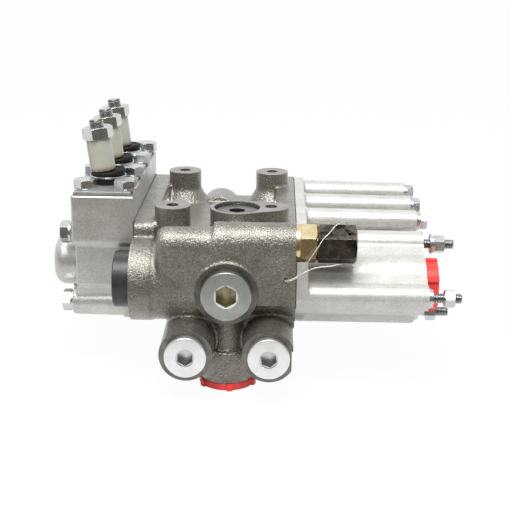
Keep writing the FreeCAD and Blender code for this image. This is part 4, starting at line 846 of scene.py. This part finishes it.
# %% [markdown]
# The red caps and the split sleeves are moulded, with rounder edges than the steel.

# %% Moulded pieces
for node in ("inlet_cap", "drain_cap", "port_caps"):
    eased(node, red, 0.0005)
for number in (1, 2, 3):
    eased(f"lever_sleeve_{number}", cream, 0.0004)

# %% [markdown]
# The screw plugs are turned parts: their faces carry fine rings, and the lip and the walls of the hexagon
# socket look different from the face. Each zone is found by its distance from the plug's axis and by its
# depth below the face.

# %% Screw plugs
plug_reach, lip_depth = 0.025, 0.0012


def dress_plug(piece, where, face_y, lip_radius, lip, socket):
    """Gives a plug's face, its socket's lip and the socket's walls their finishes."""
    first = len(piece.data.materials)
    for material in (plug_zinc[where], lip, socket):
        piece.data.materials.append(material)
    x, z = plug_axes[where]
    for face in piece.data.polygons:
        corners = [piece.data.vertices[k].co for k in face.vertices]
        radius = max(math.hypot(c.x - x, c.z - z) for c in corners)
        if radius > plug_reach:
            continue
        zone = 0
        if radius < lip_radius:
            zone = 1 if max(c.y for c in corners) - face_y < lip_depth else 2
        face.material_index = first + zone


centre_plug = eased("centre_plug", None, 0.00025)
dress_plug(centre_plug, "centre", face_y=-0.127, lip_radius=0.00955, lip=socket_lip, socket=socket_olive)
lug_plugs = eased("lug_plugs", None, 0.00025)
for where in ("left", "right"):
    dress_plug(lug_plugs, where, face_y=-0.1455, lip_radius=0.00725, lip=zinc, socket=zinc)
print("plug finishes:", len(centre_plug.data.materials), len(lug_plugs.data.materials))

# %% [markdown]
# The free ends of the levers and of the drain studs are threaded. A thread is a zigzag of one pitch,
# turned by the Screw modifier, then cut flat at both ends. Its ring of crests is what catches the light,
# and a small chamfer leads the nut on. The threads are made upright at the origin, then laid in place.

# %% A thread
chord_count = 28
flat_normal = 0.98


def thread(name, metal, radius, depth, pitch, length, chamfer):
    """A threaded rod from the origin up the Z axis. Its roots are painted dark, as painted shade deep in
    the V.
    """
    only_nothing()
    bpy.ops.mesh.primitive_plane_add(size=0.001, location=(0, 0, 0))
    rod = bpy.context.active_object
    rod.name = name
    bpy.ops.object.mode_set(mode="EDIT")
    bpy.ops.mesh.select_mode(type="VERT")
    bpy.ops.mesh.select_all(action="SELECT")
    bpy.ops.mesh.merge(type="CENTER")
    bpy.ops.transform.translate(value=(radius - depth, 0, -1.37 * pitch))
    flank = 0.42 * pitch
    land = 0.5 * pitch - flank
    low, high = (0.45 * depth, 0, 0.45 * flank), (0.55 * depth, 0, 0.55 * flank)
    crest = root = (0, 0, land)
    for step in (low, high, crest, (-high[0], 0, high[2]), (-low[0], 0, low[2]), root):
        bpy.ops.mesh.extrude_region_move(TRANSFORM_OT_translate={"value": step})
    bpy.ops.object.mode_set(mode="OBJECT")
    turns = rod.modifiers.new("turns", "SCREW")
    turns.screw_offset = pitch
    turns.iterations = math.ceil(length / pitch) + 3
    turns.steps = turns.render_steps = chord_count
    turns.use_merge_vertices = True
    turns.merge_threshold = 0.00002
    apply_all(rod)
    only(rod)
    bpy.ops.object.mode_set(mode="EDIT")
    bpy.ops.mesh.select_all(action="SELECT")
    bpy.ops.mesh.remove_doubles(threshold=seam_gap)
    for height, side in ((0.0, -1), (length, 1)):
        bpy.ops.mesh.select_all(action="SELECT")
        bpy.ops.mesh.bisect(plane_co=(0, 0, height), plane_no=(0, 0, side), use_fill=True,
                            clear_outer=True, threshold=cut_gap)
    bpy.ops.mesh.select_all(action="SELECT")
    bpy.ops.mesh.normals_make_consistent(inside=False)
    bpy.ops.object.mode_set(mode="OBJECT")
    co = points_of(rod)
    reach = np.hypot(co[:, 0], co[:, 1])
    limit = np.minimum(radius, radius - chamfer + (length - co[:, 2]))
    over = reach > limit
    co[over, :2] *= (limit[over] / reach[over])[:, None]
    put_points(rod, co)
    rod.data.materials.append(metal)
    # The second slot is painted shade: faces deep in the thread, apart from the flat ends, are painted
    # dark.
    rod.data.materials.append(root_painted_shade)
    for face in rod.data.polygons:
        middle = face.center
        deep = math.hypot(middle.x, middle.y) < radius - 0.6 * depth
        face.material_index = int(deep and abs(face.normal.z) < flat_normal)
    smooth(rod, 30)
    return rod


def lay(piece, place, axis):
    """Turns an upright piece onto an axis, moves it to its place and fixes both in its mesh."""
    only(piece)
    piece.rotation_euler = Vector(axis).to_track_quat("Z", "Y").to_euler()
    piece.location = place
    bpy.ops.object.transform_apply(location=True, rotation=True, scale=True)


def cut_end(piece, point, normal):
    """Cuts off what lies beyond a plane and closes the piece."""
    only(piece)
    bpy.ops.object.mode_set(mode="EDIT")
    bpy.ops.mesh.select_all(action="SELECT")
    bpy.ops.mesh.bisect(plane_co=point, plane_no=normal, use_fill=True, clear_outer=True, threshold=cut_gap)
    bpy.ops.object.mode_set(mode="OBJECT")


def join_to(piece, other):
    """Makes another object's mesh part of a piece."""
    only(piece)
    other.select_set(True)
    bpy.ops.object.join()


print("thread ready")

# %% [markdown]
# Each lever keeps its CAD ball, arm and tip. Its rod is cut inside the nut, where the M12 thread takes
# over.

# %% Levers
pivot_x = -0.096
rod_end = 0.0545
for number, y in enumerate(spool_ys, 1):
    cut_place = Vector((pivot_x, y, 0)) + lever_axis * rod_end
    lever = copy_of(f"lever_{number}", f"lever_{number}_turned")
    cut_end(lever, cut_place, lever_axis)
    smooth(lever, 35)
    lever.data.materials.append(lever_steel)
    end = thread("lever_end", lever_steel, radius=0.00595, depth=0.0007, pitch=0.00125, length=0.0097,
                 chamfer=0.0015)
    lay(end, cut_place, lever_axis)
    join_to(lever, end)
    hand_over(lever, None, f"lever_{number}")
print("lever faces:", len(lever.data.polygons))

# %% [markdown]
# The three drain studs stick out of the spring cover, threaded all the way. They differ in length.

# %% Drain studs
stud_cut_x = 0.158
stud_ends = ((-0.05825, -0.03019, 0.1875), (-0.1085, -0.0592, 0.1885), (-0.05825, -0.08821, 0.1865))
studs = copy_of("drain_studs", "drain_studs_turned")
cut_end(studs, (stud_cut_x, 0, 0), (1, 0, 0))
smooth(studs, 35)
studs.data.materials.append(zinc)
for y, z, end_x in stud_ends:
    end = thread("stud_end", zinc, radius=0.00397, depth=0.0006, pitch=0.00125, length=end_x - stud_cut_x,
                 chamfer=0.0009)
    lay(end, (stud_cut_x, y, z), (1, 0, 0))
    join_to(studs, end)
hand_over(studs, None, "drain_studs")
print("stud faces:", len(studs.data.polygons))

# %% [markdown]
# A boot is a moulded rubber cup. Its foot stands on the plate, a wire ring sits in its groove, and above
# the ring it flares into a round lip that leans with the lever. From the lip a thin floor runs inward and
# grips the rod under the sleeve. The outline is spun round the foot's axis, then the lip is leaned and
# the floor is moved over to the rod.

# %% Boots
foot_x, plate_top_z = -0.0945, 0.012
boot_outline = ((14.3, 0), (14.5, 0.4), (14.5, 5.0), (14.2, 5.35), (13.3, 5.4), (13.3, 6.6), (13.9, 6.9),
                (14.3, 7.6), (14.2, 8.8), (13.5, 9.9), (12.5, 10.5), (11.6, 10.4), (11.0, 9.8),
                (10.2, 9.4), (9.0, 9.3), (7.6, 9.4), (6.15, 9.5), (6.15, 8.5), (8.0, 8.4), (10.2, 8.4),
                (11.6, 7.6), (11.9, 6.0), (11.6, 0))
lean_from_z, lean_to_z, lip_slope = 0.0176, 0.0192, 0.1192
grip_radius, flare_radius = 0.0066, 0.0108


def spun(name, outline, center):
    """A closed outline of (radius, height) pairs in millimetres, spun round an upright axis."""
    only_nothing()
    bpy.ops.mesh.primitive_plane_add(size=0.001, location=center)
    piece = bpy.context.active_object
    piece.name = name
    bpy.ops.object.transform_apply(location=True)
    bpy.ops.object.mode_set(mode="EDIT")
    bpy.ops.mesh.select_mode(type="VERT")
    bpy.ops.mesh.select_all(action="SELECT")
    bpy.ops.mesh.merge(type="CENTER")
    first_r, first_z = outline[0]
    bpy.ops.transform.translate(value=(first_r / 1000, 0, first_z / 1000))
    for (r0, z0), (r1, z1) in zip(outline, outline[1:] + outline[:1]):
        step = ((r1 - r0) / 1000, 0, (z1 - z0) / 1000)
        bpy.ops.mesh.extrude_region_move(TRANSFORM_OT_translate={"value": step})
    bpy.ops.mesh.select_all(action="SELECT")
    bpy.ops.mesh.spin(steps=56, angle=math.tau, center=center, axis=(0, 0, 1))
    bpy.ops.mesh.select_all(action="SELECT")
    bpy.ops.mesh.remove_doubles(threshold=seam_gap)
    bpy.ops.mesh.normals_make_consistent(inside=False)
    bpy.ops.object.mode_set(mode="OBJECT")
    return piece


def gradual(value, low, high):
    """Rises from 0 at the low value to 1 at the high one, softly at both ends."""
    t = np.clip((value - low) / (high - low), 0, 1)
    return t * t * (3 - 2 * t)


for number, y in enumerate(spool_ys, 1):
    foot = Vector((foot_x, y, plate_top_z))
    boot = spun(f"boot_{number}_spun", boot_outline, foot)
    round_off = boot.modifiers.new("round_off", "SUBSURF")
    round_off.levels = round_off.render_levels = 1
    apply_all(boot)
    co = points_of(boot)
    radius = np.hypot(co[:, 0] - foot.x, co[:, 1] - y)
    lean = gradual(co[:, 2], lean_from_z, lean_to_z)
    to_rod = 1 - gradual(radius, grip_radius, flare_radius)
    rod_x = pivot_x + co[:, 2] * lever_axis.x / lever_axis.z
    co[:, 0] += lean * to_rod * (rod_x - foot.x)
    co[:, 2] += lean * lip_slope * (co[:, 0] - foot.x)
    put_points(boot, co)
    smooth(boot, 60)
    boot.data.materials.append(rubber)
    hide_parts(f"boot_{number}")
    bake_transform(boot)
print("boot faces:", len(boot.data.polygons))

# %% [markdown]
# The seal wire is two thin strands twisted together. Its CAD mesh only needs smooth shading.

# %% Seal wire
wire = copy_of("seal_wire", "seal_wire_smooth")
smooth(wire, 60)
hand_over(wire, soft_wire, "seal_wire")
print("wire faces:", len(wire.data.polygons))

# %% [markdown]
# The springs inside are compressed when their spool or poppet moves, and a rigid copy would be cut by its
# cup. Each spring here is a rigid, smooth-shaded copy of its CAD node that moves with its body. The table
# gives its joint, the X of the end that stays and the travel of its joint, which the loop does not use.

# %% Springs
spring_ends = {"bypass_spring": ("bypass_slide", -0.0614, 0.006),
               "relief_spring": ("relief_slide", 0.0718, 0.002)}
for number in (1, 2, 3):
    spring_ends[f"spool_spring_{number}"] = (f"spool_slide_{number}", 0.0634, 0.008)
for node, (joint, fixed_x, travel) in spring_ends.items():
    spring = copy_of(node, node + "_coiled")
    smooth(spring, 60)
    hand_over(spring, spring_wire, node)
    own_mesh(spring)

# %% [markdown]
# What stays as its CAD node is inside the valve or pressed between its parts: ground and turned steel,
# gaskets and seals. It gets a finish too.

# %% Finishes for the remaining nodes
plain = {"ground_steel": bright_steel, "gasket_paper": gasket, "boot_rubber": rubber}
for node, piece in nodes.items():
    material = plain.get(slot_of[node])
    if material:
        piece.data.materials.clear()
        piece.data.materials.append(material)
print("CAD nodes with a finish:", sum(slot_of[n] in plain for n in nodes))
